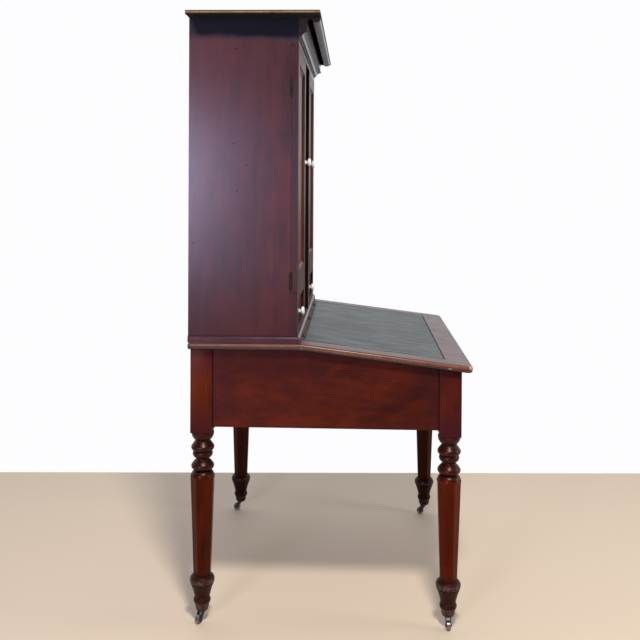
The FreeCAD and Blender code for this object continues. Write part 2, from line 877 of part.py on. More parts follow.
def lid_slab():
    """The whole lid as one board in its own frame: the hinge line at the origin, the nose towards -y."""
    body = new_body("lid_slab")
    rear = -s.leaf_gap / 2
    pad(body, outline(body, "YZ_Plane", "lid_section", [
        (rear, 0),
        (-lid_length, 0),
        (-lid_length, -s.top_thick),
        (rear - s.top_thick * tan(s.lid_slope), -s.top_thick),
    ]), s.desk_width)
    nose = -lid_length.worth
    rounded(body, s.lid_corner_round, lambda e: along(e, "z") and e.BoundBox.YMax < nose + NEAR)
    behind = rear.worth - s.top_thick.worth
    bottom = -s.top_thick.worth
    rounded(body, s.top_round_upper, lambda e: e.BoundBox.ZMin > -NEAR and e.BoundBox.YMin < behind)
    rounded(body, s.top_round_lower, lambda e: e.BoundBox.ZMax < bottom + NEAR and e.BoundBox.YMin < behind)
    return body


LID_TILT = Rotation(Vector(1, 0, 0), s.lid_slope.worth)


def on_lid(piece):
    """Carry a piece from the lid's own frame to its place on the desk."""
    place(piece, (0, hinge_y, s.flat_height), LID_TILT, s.lid_slope)
    return piece


slab = lid_slab()
lid_deep = (-s.top_thick - s.cut_margin, s.cut_margin)
rail_back = -lid_length + s.front_border
stile_front = rail_back + s.lid_joint
stile_edge = s.desk_width / 2 - s.side_border
outside = s.desk_width / 2 + s.cut_margin
front_rail = shared("lid_front_rail", slab, block(
    "lid_front_rail_region", (-outside, outside), (-lid_length - s.cut_margin, rail_back), lid_deep))
lid_stiles = [
    shared(f"lid_stile_{side}", slab, block(
        f"lid_stile_{side}_region", (stile_edge * hand, outside * hand),
        (stile_front, s.cut_margin), lid_deep))
    for side, hand in SIDES
]
lid_frame = on_lid(group("lid_frame", [front_rail] + lid_stiles))
leather_y = (rail_back, -s.leather_hinge_edge)
leather_z = (-s.leather_thick, ZERO)
lid_board = shared("lid_board", slab, block(
    "lid_board_region", (-stile_edge, stile_edge), (rail_back, s.cut_margin), lid_deep))
leather_bed = block("leather_bed", (-stile_edge, stile_edge), leather_y, (-s.leather_thick, s.cut_margin))
lid_board_bedded = on_lid(cut("lid_board_bedded", lid_board, [leather_bed]))
lid_panel = cut("lid_panel", lid_board_bedded, lid_beds)
leather_sheet = on_lid(group("lid_leather_sheet", [
    block("lid_leather_cut", (-stile_edge, stile_edge), leather_y, leather_z)]))
lid_leather = cut("lid_leather", leather_sheet, lid_beds)

# ---------------------------------------------------------------- castors


def castor(side, hand, end, leg_y):
    """A small iron castor: a plate with its pin on the leg, a swivelling fork with its axle, and a wheel."""
    name = f"{end}_{side}"
    turn = getattr(s, f"castor_turn_{end}_{side}")
    x = leg_x * hand
    plate_bottom = s.castor_height - s.castor_plate_thick
    disc_top = plate_bottom - s.castor_play
    disc_bottom = disc_top - s.castor_disc_thick
    head_top = disc_bottom - s.castor_play

    plate = new_body(f"castor_plate_{name}")
    turned(plate, outline(plate, "XZ_Plane", f"castor_plate_{name}_section", [
        (0, head_top - s.castor_pin_head_thick),
        (s.castor_pin_head_radius, head_top - s.castor_pin_head_thick),
        (s.castor_pin_head_radius, head_top),
        (s.castor_pin_radius, head_top),
        (s.castor_pin_radius, plate_bottom),
        (s.castor_plate_radius, plate_bottom),
        (s.castor_plate_radius, s.castor_height),
        (s.castor_stem_radius, s.castor_height),
        (s.castor_stem_radius, s.castor_height + s.castor_stem_length - s.cut_margin),
        (0, s.castor_height + s.castor_stem_length - s.cut_margin),
    ]))
    place(plate, (x, leg_y, 0))

    slot_half = s.castor_wheel_width / 2 + s.castor_wheel_gap
    fork_half = slot_half + s.castor_cheek_thick
    fork = new_body(f"castor_horn_{name}")
    turned(fork, outline(fork, "XZ_Plane", f"castor_horn_{name}_disc", [
        (0, disc_bottom),
        (s.castor_disc_radius, disc_bottom),
        (s.castor_disc_radius, disc_top),
        (0, disc_top),
    ]))
    boss = s.castor_boss_radius
    axle_z = s.castor_wheel_radius
    low = boss * math.sqrt(0.5)
    pad(fork, outline(fork, "YZ_Plane", f"castor_horn_{name}_cheeks", [
        (-s.castor_cheek_top_half, disc_top - s.castor_disc_thick / 2),
        (s.castor_trail - low, axle_z - low),
        ARC, (s.castor_trail + low, axle_z - low),
        (s.castor_trail + boss, axle_z),
        (s.castor_cheek_top_half * CHEEK_FLARE, disc_top - s.castor_disc_thick / 2),
    ]), fork_half * 2)
    behind = s.castor_trail + s.castor_wheel_radius + boss
    pocket(fork, outline(fork, "YZ_Plane", f"castor_horn_{name}_slot", [
        (-s.castor_disc_radius, -s.cut_margin),
        (behind, -s.cut_margin),
        (behind, disc_bottom),
        (-s.castor_disc_radius, disc_bottom),
    ]), slot_half * 2)
    pin_bore = s.castor_pin_radius + s.castor_pin_play
    groove(fork, outline(fork, "XZ_Plane", f"castor_horn_{name}_bore", [
        (0, disc_bottom - s.cut_margin),
        (pin_bore, disc_bottom - s.cut_margin),
        (pin_bore, disc_top + s.cut_margin),
        (0, disc_top + s.cut_margin),
    ]))
    place(fork, (x, leg_y, 0), Rotation(Vector(0, 0, 1), turn.worth), turn)
    axle_x = x - sin(turn) * s.castor_trail
    axle_y = leg_y + cos(turn) * s.castor_trail
    across = Rotation(Vector(0, 0, 1), turn.worth).multiply(Rotation(Vector(0, 1, 0), 90))
    hole_length = fork_half * 2 + s.cut_margin * 2
    hole = rod(f"castor_hole_{name}", s.castor_axle_radius + s.castor_axle_play, hole_length,
               (axle_x - cos(turn) * hole_length / 2, axle_y - sin(turn) * hole_length / 2, axle_z), across)
    horn = cut(f"castor_drilled_{name}", fork, [hole])
    axle_length = fork_half * 2 + s.castor_axle_head * 2
    axle = rod(f"castor_axle_{name}", s.castor_axle_radius, axle_length,
               (axle_x - cos(turn) * axle_length / 2, axle_y - sin(turn) * axle_length / 2, axle_z), across)
    fork_node = group(f"castor_fork_{name}", [horn, axle])

    wheel = new_body(f"castor_wheel_{name}")
    bore = s.castor_axle_radius + s.castor_axle_play
    half = s.castor_wheel_width / 2
    rim = s.castor_wheel_radius - s.castor_wheel_crown
    turned(wheel, outline(wheel, "XZ_Plane", f"castor_wheel_{name}_section", [
        (-half, bore),
        (half, bore),
        (half, s.castor_hub_radius),
        (half - s.castor_hub_dish, s.castor_hub_radius + s.castor_hub_dish),
        (half - s.castor_hub_dish, rim - s.castor_hub_dish),
        (half, rim),
        (half - s.castor_wheel_crown, s.castor_wheel_radius),
        (-half + s.castor_wheel_crown, s.castor_wheel_radius),
        (-half, rim),
        (-half + s.castor_hub_dish, rim - s.castor_hub_dish),
        (-half + s.castor_hub_dish, s.castor_hub_radius + s.castor_hub_dish),
        (-half, s.castor_hub_radius),
    ]), "H_Axis")
    place(wheel, (axle_x, axle_y, axle_z), Rotation(Vector(0, 0, 1), turn.worth), turn)
    return plate, fork_node, wheel


castors = [castor(side, hand, end, leg_y) for end, leg_y in ENDS for side, hand in SIDES]
castor_plates = group("castor_plates", [plate for plate, _, _ in castors])

# ---------------------------------------------------------------- boards of the case

shelf_front = case_front + notch_depth + s.inner_stile_depth + s.shelf_setback
side_shelf_z = case_base + s.side_shelf_height
centre_shelf_z = case_base + s.centre_shelf_height
ceiling_bottom = door_top + s.ceiling_rise
ceiling_top = ceiling_bottom + s.ceiling_thick

case_floor = block("case_floor", (-case_inner, case_inner), (case_front, case_back_inner),
                   (case_base, floor_top))
case_ceiling = block("case_ceiling", (-case_inner - s.housing_depth, case_inner + s.housing_depth),
                     (case_front + s.rail_thick, case_back_inner), (ceiling_bottom, ceiling_top))
top_rail = block("case_top_rail", (-case_inner, case_inner), (case_front, case_front + s.rail_thick),
                 (door_top, case_top))
shelf_boards = {}
dividers = {}
for side, hand in SIDES:
    shelf_boards[side] = block(
        f"side_shelf_{side}",
        ((case_inner + s.housing_depth) * hand, (stile_outer - s.housing_depth) * hand),
        (shelf_front, case_back_inner), (side_shelf_z, side_shelf_z + s.shelf_thick))
    dividers[side] = block(
        f"drawer_divider_{side}", ((case_inner + s.housing_depth) * hand, stile_outer * hand),
        (case_front, case_back_inner), (divider_bottom, door_bottom))
side_shelves = group("side_shelves", list(shelf_boards.values()))
drawer_dividers = group("drawer_dividers", list(dividers.values()))
bay_shelf_half = partition_inner + s.housing_depth
centre_shelf = block("centre_shelf", (-bay_shelf_half, bay_shelf_half), (shelf_front, case_back_inner),
                     (centre_shelf_z, centre_shelf_z + s.shelf_thick))


def case_side(side, hand):
    """The end of the case, its front edge cut back where the door laps over it."""
    body = new_body(f"case_side_{side}_board")
    pad(body, outline(body, "YZ_Plane", f"case_side_{side}_outline", [
        (case_front, case_base),
        (back_y, case_base),
        (back_y, case_top),
        (case_front, case_top),
        (case_front, door_top),
        (case_front + notch_depth, door_top),
        (case_front + notch_depth, door_bottom),
        (case_front, door_bottom),
    ]), s.case_wall)
    place(body, ((case_half - s.case_wall / 2) * hand, 0, 0))
    housings = [shelf_boards[side], dividers[side], case_ceiling]
    return cut(f"case_side_{side}", body, housings + side_beds[side])


def inner_stile(side, hand):
    """The upright beside the open bay, notched for the door like the case's end."""
    body = new_body(f"inner_stile_{side}")
    pad(body, outline(body, "YZ_Plane", f"inner_stile_{side}_outline", [
        (case_front, floor_top),
        (case_front + s.inner_stile_depth, floor_top),
        (case_front + s.inner_stile_depth, ceiling_bottom),
        (case_front + notch_depth, ceiling_bottom),
        (case_front + notch_depth, door_bottom),
        (case_front, door_bottom),
    ]), s.inner_stile_width)
    place(body, ((stile_inner + s.inner_stile_width / 2) * hand, 0, 0))
    return body


case_sides = [case_side(side, hand) for side, hand in SIDES]
stiles = group("inner_stiles", [inner_stile(side, hand) for side, hand in SIDES])
partition_pair = group("partitions", [
    cut(f"partition_{side}",
        block(f"partition_{side}_board", (partition_inner * hand, stile_outer * hand),
              (case_front + s.inner_stile_depth, case_back_inner), (floor_top, ceiling_bottom)),
        [shelf_boards[side], centre_shelf])
    for side, hand in SIDES
])

bed_pieces = []
for side, hand in SIDES:
    bed_pieces.append(block(f"drawer_bed_rail_{side}", (case_inner * hand, stile_outer * hand),
                            (case_front, case_front + s.rail_thick), (floor_top, drawer_bed)))
    for name, outer in (("outer", case_inner), ("inner", stile_outer + s.runner_width)):
        bed_pieces.append(block(f"drawer_runner_{side}_{name}",
                                (outer * hand, (outer - s.runner_width) * hand),
                                (case_front + s.rail_thick, case_back_inner), (floor_top, drawer_bed)))
drawer_beds = group("drawer_beds", bed_pieces)

back_step = (case_inner * 2 + s.back_joint) / s.back_boards
case_back = group("case_back_boards", [
    block(f"case_back_board_{number + 1}",
          (-case_inner + back_step * number, -case_inner + back_step * (number + 1) - s.back_joint),
          (case_back_inner, back_y), (case_base, case_top))
    for number in range(int(s.back_boards.worth))
])


def top_board():
    body = new_body("top_board")
    front = case_front - s.board_front_overhang
    upper = case_top + s.board_thick
    pad(body, outline(body, "YZ_Plane", "top_board_section", [
        (front, case_top), (back_y, case_top), (back_y, upper), (front, upper),
    ]), case_width + s.board_side_overhang * 2)
    top = upper.worth
    bottom = case_top.worth
    rear = back_y.worth
    rounded(body, s.board_round, lambda e: (e.BoundBox.ZMin > top - NEAR or e.BoundBox.ZMax < bottom + NEAR)
            and e.BoundBox.YMin < rear - NEAR)
    return body


case_top_board = top_board()

# ---------------------------------------------------------------- cornice and base moulding


def run_of_moulding(label, path):
    """A straight moulding along the case's front, from a section drawn ahead of the front and up."""
    body = new_body(label)
    pad(body, outline(body, "YZ_Plane", f"{label}_section", path), case_width)
    return body


def ahead(projection):
    return case_front - projection


def below(drop):
    return case_top - drop


frieze = run_of_moulding("cornice_frieze", [
    (ahead(ZERO), below(s.frieze_drop)),
    (ahead(ZERO), case_top),
    (ahead(s.frieze_thick), case_top),
    (ahead(s.frieze_thick), below(s.frieze_drop)),
])
crown = run_of_moulding("cornice_crown", [
    (ahead(s.frieze_thick), case_top),
    (ahead(s.crown_front), case_top),
    (ahead(s.crown_front), below(s.crown_fillet_drop)),
    ARC, (ahead((s.crown_front + s.crown_foot) / 2 + 2), below((s.crown_fillet_drop + s.crown_drop) / 2 + 2)),
    (ahead(s.crown_foot), below(s.crown_drop)),
    (ahead(s.frieze_thick), below(s.crown_drop)),
])
bed_moulding = run_of_moulding("cornice_bed_moulding", [
    (ahead(ZERO), below(s.frieze_drop)),
    (ahead(s.bed_front), below(s.frieze_drop)),
    (ahead(s.bed_front), below(s.bed_fillet_drop)),
    ARC, (ahead(s.bed_foot + (s.bed_front - s.bed_foot) * CAVETTO),
          below(s.bed_fillet_drop + (s.bed_drop - s.bed_fillet_drop) * CAVETTO)),
    (ahead(s.bed_foot), below(s.bed_drop)),
    (ahead(s.bed_strip), below(s.bed_drop)),
    (ahead(s.bed_strip), below(s.bed_strip_drop)),
    (ahead(ZERO), below(s.bed_strip_drop)),
])


def base_profile(inner, outward):
    """The plinth moulding's section, standing on the desk and leaning on a face of the case."""
    return [
        (inner, case_base),
        (inner + s.base_mould_front * outward, case_base),
        (inner + s.base_mould_front * outward, case_base + s.base_mould_square),
        ARC, (inner + (s.base_mould_top + (s.base_mould_front - s.base_mould_top) * BEVEL_BULGE) * outward,
              case_base + (s.base_mould_square + s.base_mould_height) / 2),
        (inner + s.base_mould_top * outward, case_base + s.base_mould_height),
        (inner, case_base + s.base_mould_height),
    ]


def base_moulding():
    front = new_body("base_moulding_front")
    reach = case_half + s.base_mould_front
    pad(front, outline(front, "YZ_Plane", "base_front_section", base_profile(case_front, -1)), reach * 2)
    over = s.base_mould_front + s.cut_margin
    for side, hand in SIDES:
        pocket(front, outline(front, "XY_Plane", f"base_front_mitre_{side}", [
            (case_half * hand, case_front),
            ((case_half + over) * hand, case_front),
            ((case_half + over) * hand, case_front - over),
        ]), (case_base + s.base_mould_height) * 3)
    pieces = [front]
    for side, hand in SIDES:
        body = new_body(f"base_moulding_{side}")
        pad(body, outline(body, "XZ_Plane", f"base_{side}_section", base_profile(case_half * hand, hand)),
            s.case_depth + s.base_mould_front, both_ways=False)
        pocket(body, outline(body, "XY_Plane", f"base_{side}_mitre", [
            (case_half * hand, -s.case_depth),
            (case_half * hand, -s.case_depth - over),
            ((case_half + over) * hand, -s.case_depth - over),
        ]), (case_base + s.base_mould_height) * 3)
        place(body, (0, back_y, 0))
        pieces.append(body)
    return group("base_moulding", pieces)


base_mould = base_moulding()

# ---------------------------------------------------------------- knobs

FACING_CLERK = Rotation(Vector(1, 0, 0), 90)


def knob(label, at, shank):
    """A porcelain knob whose shank goes back into the wood."""
    body = new_body(label)
    low = s.knob_head_height - s.knob_head_half
    high = s.knob_head_height + s.knob_head_half
    turned(body, outline(body, "XZ_Plane", f"{label}_section", [
        (0, -shank),
        (s.knob_shank_radius, -shank),
        (s.knob_shank_radius, 0),
        (s.knob_base_radius, 0),
        (s.knob_base_radius, s.knob_base_thick),
        ARC, (s.knob_neck_radius * FLANGE_FILLET, s.knob_base_thick * FLANGE_FILLET_RISE),
        (s.knob_neck_radius, s.knob_neck_height),
        (s.knob_neck_radius * NECK_FLARE, low),
        ARC, (s.knob_head_radius, s.knob_head_height - s.knob_head_half * HEAD_RISE),
        (s.knob_neck_radius, high),
        (0, high),
    ]))
    place(body, at, FACING_CLERK)
    return body


def shank_hole(label, at, length):
    x, y, z = at
    start = (x, y + length + s.cut_margin, z)
    return rod(label, s.knob_shank_radius + s.knob_shank_play, length + s.cut_margin * 2, start, FACING_CLERK)


# ---------------------------------------------------------------- doors

MOULD_TURNS = {
    "bottom": Rotation(Vector(1, 0, 0), Vector(0, 0, 1), Vector(0, -1, 0), "ZXY"),
    "top": Rotation(Vector(-1, 0, 0), Vector(0, 0, -1), Vector(0, -1, 0), "ZXY"),
    "left": Rotation(Vector(0, 0, -1), Vector(1, 0, 0), Vector(0, -1, 0), "ZXY"),
    "right": Rotation(Vector(0, 0, 1), Vector(-1, 0, 0), Vector(0, -1, 0), "ZXY"),
}


def panel_mould(label, length, at, turn):
    """One side of the moulding round a door's panel, mitred at both ends."""
    body = new_body(label)
    width = s.door_mould_width
    height = s.door_mould_height
    pad(body, outline(body, "YZ_Plane", f"{label}_section", [
        (0, 0),
        (width, 0),
        (width, s.door_mould_lip),
        ARC, (width * MOULD_HOLLOW, height * MOULD_HOLLOW),
        (width * MOULD_TOP, height),
        (0, height),
    ]), length)
    e = s.cut_margin
    mitres = sketch_on(body, "XY_Plane", f"{label}_mitres")
    for hand in (-1, 1):
        draw_outline(mitres, [
            ((length / 2 + e) * hand, -e),
            ((length / 2 + e) * hand, width + e),
            ((length / 2 - width - e) * hand, width + e),
        ])
    pocket(body, mitres, height * 4)
    place(body, at, turn)
    return body


def door(side, hand):
    """A framed door with a sunk panel, a moulding round it, a knob and its hinge leaves."""
    outer = case_half * hand
    free_edge = s.bay_half + s.door_reveal
    free = free_edge * hand
    low = door_bottom + s.door_play
    high = door_top - s.door_play
    front = case_front
    rear = case_front + s.door_thick
    outer_in = (case_half - s.door_stile) * hand
    free_in = (free_edge + s.door_stile) * hand
    opening_low = low + s.door_bottom_rail
    opening_high = high - s.door_top_rail
    panel_front = front + s.door_panel_sink
    panel_back = panel_front + s.door_panel_thick
    panel_y = (panel_front, panel_back)
    knob_x = (free_edge + s.door_knob_inset) * hand
    knob_at = (knob_x, front, case_base + s.door_knob_height)

    pieces = []
    for name, edge, inner, cuts in (("outer", outer, outer_in, door_beds[side]),
                                    ("free", free, free_in,
                                     [shank_hole(f"door_{side}_knob_hole", knob_at, s.door_thick)])):
        toward = 1 if edge.worth > inner.worth else -1
        board = block(f"door_{side}_{name}_stile_board", (edge, inner), (front, rear), (low, high))
        slot = block(f"door_{side}_{name}_groove",
                     (inner + s.door_groove * toward, inner - s.cut_margin * toward),
                     panel_y, (low - s.cut_margin, high + s.cut_margin))
        pieces.append(cut(f"door_{side}_{name}_stile", board, [slot] + cuts))
    rail_x = ordered((outer_in, free_in))
    tongue_x = (rail_x[0] - s.door_groove, rail_x[1] + s.door_groove)
    for name, edge, inner in (("bottom", low, opening_low), ("top", high, opening_high)):
        toward = 1 if edge.worth > inner.worth else -1
        board = block(f"door_{side}_{name}_rail_board", rail_x, (front, rear), (edge, inner))
        slot = block(f"door_{side}_{name}_groove",
                     (rail_x[0] - s.cut_margin, rail_x[1] + s.cut_margin), panel_y,
                     (inner + s.door_groove * toward, inner - s.cut_margin * toward))
        grooved = cut(f"door_{side}_{name}_rail_grooved", board, [slot])
        tongue = block(f"door_{side}_{name}_rail_tongue", tongue_x, panel_y,
                       (edge, inner + s.door_groove * toward))
        pieces.append(joined(f"door_{side}_{name}_rail", [grooved, tongue]))
    frame = group(f"door_{side}_frame", pieces)

    inset = s.door_groove - s.door_panel_play
    panel = block(f"door_{side}_panel", (rail_x[0] - inset, rail_x[1] + inset), panel_y,
                  (opening_low - inset, opening_high + inset))
    width = rail_x[1] - rail_x[0]
    height = opening_high - opening_low
    middle_x = (rail_x[0] + rail_x[1]) / 2
    middle_z = (opening_low + opening_high) / 2
    moulding = group(f"door_{side}_moulding", [
        panel_mould(f"door_{side}_mould_{name}", length, (x, panel_front, z), MOULD_TURNS[name])
        for name, length, x, z in (("bottom", width, middle_x, opening_low),
                                   ("top", width, middle_x, opening_high),
                                   ("left", height, rail_x[0], middle_z),
                                   ("right", height, rail_x[1], middle_z))
    ])
    handle = knob(f"door_{side}_knob", knob_at, s.door_thick)
    leaves = group(f"door_{side}_hinge_leaves", door_moving_leaves[side])
    return [frame, panel, moulding, handle, leaves]


doors = [piece for side, hand in SIDES for piece in door(side, hand)]

# ---------------------------------------------------------------- drawers


def drawer(side, hand):
    """A small drawer: a front lapped over two sides, a back, and a bottom let into grooves."""
    x0, x1 = ordered((case_inner * hand, stile_outer * hand))
    x0 = x0 + s.drawer_play
    x1 = x1 - s.drawer_play
    low = drawer_bed + s.drawer_seat_gap
    high = divider_bottom - s.drawer_play
    front = case_front + s.drawer_recess
    front_back = front + s.drawer_front_thick
    lap = front + s.drawer_front_thick - s.drawer_lap
    end = front + s.drawer_length
    side_top = high - s.drawer_side_drop
    bottom_z = (low + s.drawer_bottom_rise, low + s.drawer_bottom_rise + s.drawer_bottom_thick)
    inner0 = x0 + s.drawer_side_thick
    inner1 = x1 - s.drawer_side_thick
    knob_at = ((x0 + x1) / 2, front, case_base + s.drawer_knob_height)

    bottom = block(f"drawer_{side}_bottom", (inner0 - s.drawer_groove, inner1 + s.drawer_groove),
                   (front_back - s.drawer_groove, end), bottom_z)
    sides = []
    for name, outer, inner in (("left", x0, inner0), ("right", x1, inner1)):
        board = block(f"drawer_{side}_{name}_side_board", (outer, inner), (lap, end), (low, side_top))
        sides.append(cut(f"drawer_{side}_{name}_side", board, [bottom]))
    back = block(f"drawer_{side}_back", (inner0, inner1), (end - s.drawer_back_thick, end),
                 (bottom_z[1], side_top))
    front_board = block(f"drawer_{side}_front_board", (x0, x1), (front, front_back), (low, high))
    laps = [
        block(f"drawer_{side}_{name}_lap", (outer, inner), (lap, front_back + s.cut_margin), (low, side_top))
        for name, outer, inner in (("left", x0, inner0), ("right", x1, inner1))
    ]
    hole = shank_hole(f"drawer_{side}_knob_hole", knob_at, s.drawer_front_thick)
    face = cut(f"drawer_{side}_front", front_board, laps + [bottom, hole])
    box = group(f"drawer_{side}_box", sides + [back, bottom])
    handle = knob(f"drawer_{side}_knob", knob_at, s.drawer_front_thick)
    stop_start = end + s.stop_gap
    stop = block(f"drawer_{side}_stop", (knob_at[0] - s.stop_width / 2, knob_at[0] + s.stop_width / 2),
                 (stop_start, case_back_inner), (floor_top, drawer_bed + s.stop_height))
    return [face, box, handle], stop


drawers = []
stops = []
for side, hand in SIDES:
    pieces, stop = drawer(side, hand)
    drawers += pieces
    stops.append(stop)
drawer_stops = group("drawer_stops", stops)

# ---------------------------------------------------------------- checks and export

nodes = legs + aprons + [well_floor, well_ledgers, flat_top_board, lid_hinge_fixed, castor_plates]
nodes += [lid_frame, lid_panel, lid_leather, lid_hinge_moving]
for _, fork, wheel in castors:
    nodes += [fork, wheel]
nodes += case_sides + [stiles, partition_pair]
nodes += [case_floor, case_ceiling, top_rail, side_shelves, centre_shelf, drawer_dividers, drawer_beds]
nodes += [drawer_stops, case_back, case_top_board, frieze, crown, bed_moulding, base_mould, door_hinge_fixed]
nodes += doors + drawers

doc.recompute()
for thing in doc.Objects:
    if "Invalid" in thing.State or "Error" in thing.State:
        raise ValueError(f"{thing.Label} failed: {thing.State}")
os.makedirs("parts", exist_ok=True)
for node in nodes:
    shape = node.Shape
    if shape.isNull() or not shape.isValid() or not shape.Solids:
        raise ValueError(f"{node.Label} has no sound solid")
    shape.exportStep(f"parts/{node.Label}.step")
print(len(nodes), "nodes,", sum(len(node.Shape.Solids) for node in nodes), "solids")
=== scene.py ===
import math

import bmesh
import bpy
from mathutils import Matrix, Vector, noise as field


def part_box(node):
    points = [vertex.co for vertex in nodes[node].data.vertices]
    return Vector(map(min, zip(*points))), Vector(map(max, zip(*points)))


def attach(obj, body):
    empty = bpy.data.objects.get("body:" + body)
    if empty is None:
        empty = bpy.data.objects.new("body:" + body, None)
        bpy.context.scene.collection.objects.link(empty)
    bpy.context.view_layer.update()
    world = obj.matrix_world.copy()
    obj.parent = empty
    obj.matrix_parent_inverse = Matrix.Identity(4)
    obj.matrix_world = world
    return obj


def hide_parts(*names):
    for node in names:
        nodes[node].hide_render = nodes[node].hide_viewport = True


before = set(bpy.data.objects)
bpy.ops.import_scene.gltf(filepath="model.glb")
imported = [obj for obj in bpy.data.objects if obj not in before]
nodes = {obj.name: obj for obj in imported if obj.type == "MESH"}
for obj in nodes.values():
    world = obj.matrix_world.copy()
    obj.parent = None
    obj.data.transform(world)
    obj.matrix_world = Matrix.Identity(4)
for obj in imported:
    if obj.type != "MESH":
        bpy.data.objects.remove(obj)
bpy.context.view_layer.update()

# A clerk's standing desk: aged mahogany, a green-black leather skiver, porcelain knobs, tarnished hinges
# and iron castors, with the turned legs, the cornice's crown, the skiver and the nails modelled here.
# Lengths are in metres, in the frame of the desk: +X right as the clerk stands, -Y towards the clerk,
# +Z up. Masks run from 0 to 1, and the pairs of values that bound one are given in its own order.

# ---------------------------------------------------------------- shader trees


def add(tree, kind, inputs=None, **settings):
    """A node with its settings, and its inputs set to a value or linked to a socket."""
    node = tree.nodes.new("ShaderNode" + kind)
    for name, value in settings.items():
        setattr(node, name, value)
    for name, value in (inputs or {}).items():
        if isinstance(value, bpy.types.NodeSocket):
            tree.links.new(value, node.inputs[name])
        else:
            node.inputs[name].default_value = value
    return node


def math_node(tree, operation, *values):
    return add(tree, "Math", dict(enumerate(values)), operation=operation).outputs[0]


def part_of(tree, share, amount):
    return math_node(tree, "MULTIPLY", share, amount)


def remap(tree, value, low, high, to_low=0.0, to_high=1.0):
    """Stretches low..high to to_low..to_high, and clamps it there."""
    node = add(tree, "MapRange", {"Value": value, "From Min": low, "From Max": high,
                                  "To Min": to_low, "To Max": to_high})
    return node.outputs["Result"]


def mix_colour(tree, share, first, second, blend="MIX"):
    node = add(tree, "Mix", data_type="RGBA", blend_type=blend)
    for index, value in ((0, share), (6, first), (7, second)):
        if isinstance(value, bpy.types.NodeSocket):
            tree.links.new(value, node.inputs[index])
        else:
            node.inputs[index].default_value = value
    return node.outputs[2]


def noise(tree, vector, scale, detail=3.0, roughness=0.5, distortion=0.0):
    node = add(tree, "TexNoise", {"Vector": vector, "Scale": scale, "Detail": detail,
                                  "Roughness": roughness, "Distortion": distortion})
    return node.outputs["Fac"]


def blotches(tree, vector, scale, detail, roughness, low, high, distortion=0.0, least=0.0):
    """Patches of noise: as little as least where the noise is under low, and whole where it is over high."""
    return remap(tree, noise(tree, vector, scale, detail, roughness, distortion), low, high, least)


def stretched(tree, vector, scale):
    return add(tree, "Mapping", {"Vector": vector, "Scale": scale}).outputs["Vector"]


def hue(code):
    """A colour from its web code, in the linear values that shaders take."""
    parts = [int(code[i:i + 2], 16) / 255 for i in (1, 3, 5)]
    linear = [c / 12.92 if c < 0.04045 else ((c + 0.055) / 1.055) ** 2.4 for c in parts]
    return (*linear, 1.0)


def new_group(name, inputs, outputs):
    """An empty node group with named sockets, and its two end nodes."""
    tree = bpy.data.node_groups.new(name, "ShaderNodeTree")
    for label, kind, value in inputs:
        socket = tree.interface.new_socket(label, in_out="INPUT", socket_type="NodeSocket" + kind)
        if value is not None:
            socket.default_value = value
    for label, kind in outputs:
        tree.interface.new_socket(label, in_out="OUTPUT", socket_type="NodeSocket" + kind)
    return tree, tree.nodes.new("NodeGroupInput").outputs, tree.nodes.new("NodeGroupOutput").inputs


def use_group(tree, group, **inputs):
    node = tree.nodes.new("ShaderNodeGroup")
    node.node_tree = group
    for name, value in inputs.items():
        if isinstance(value, bpy.types.NodeSocket):
            tree.links.new(value, node.inputs[name])
        else:
            node.inputs[name].default_value = value
    return node.outputs


# ---------------------------------------------------------------- shared effects


# a layer of mahogany's figure: how far it is drawn out along the grain, then its noise's scale, detail,
# roughness and distortion
STREAKS = (0.035, 60, 8, 0.7, 0.4)
LINES = (0.012, 230, 3, 0.6)
RIBBONS = (0.11, 16, 3, 0.5, 0.6)
MOTTLE = (0.4, 30, 5, 0.62)
PORES = (0.03, 620, 2, 0.5)
CLOUDS = (0.45, 4.2, 4, 0.6, 0.8)
RINGS = {"Scale": 9.0, "Distortion": 7.0, "Detail": 4.0, "Detail Scale": 1.6}
RINGS_DRAWN_OUT = 0.14
RINGS_SHARE = 0.08
STREAKS_SHARE = 0.3
LINES_SHARE = 0.26
RIBBONS_SHARE = 0.16
MOTTLE_SHARE = 0.2
TONE_SPAN = (0.40, 0.60)
PORES_SPAN = (0.58, 0.70)
CLOUDS_SPAN = (0.34, 0.68)
SEED_ACROSS = 1.7
SEED_ALONG = 0.6
STREAKS_RAISED = 0.5


def figure(tree, place, drawn_out, *settings):
    """A noise that is drawn out along z, as the grain is."""
    return noise(tree, stretched(tree, place, (1, 1, drawn_out)), *settings)


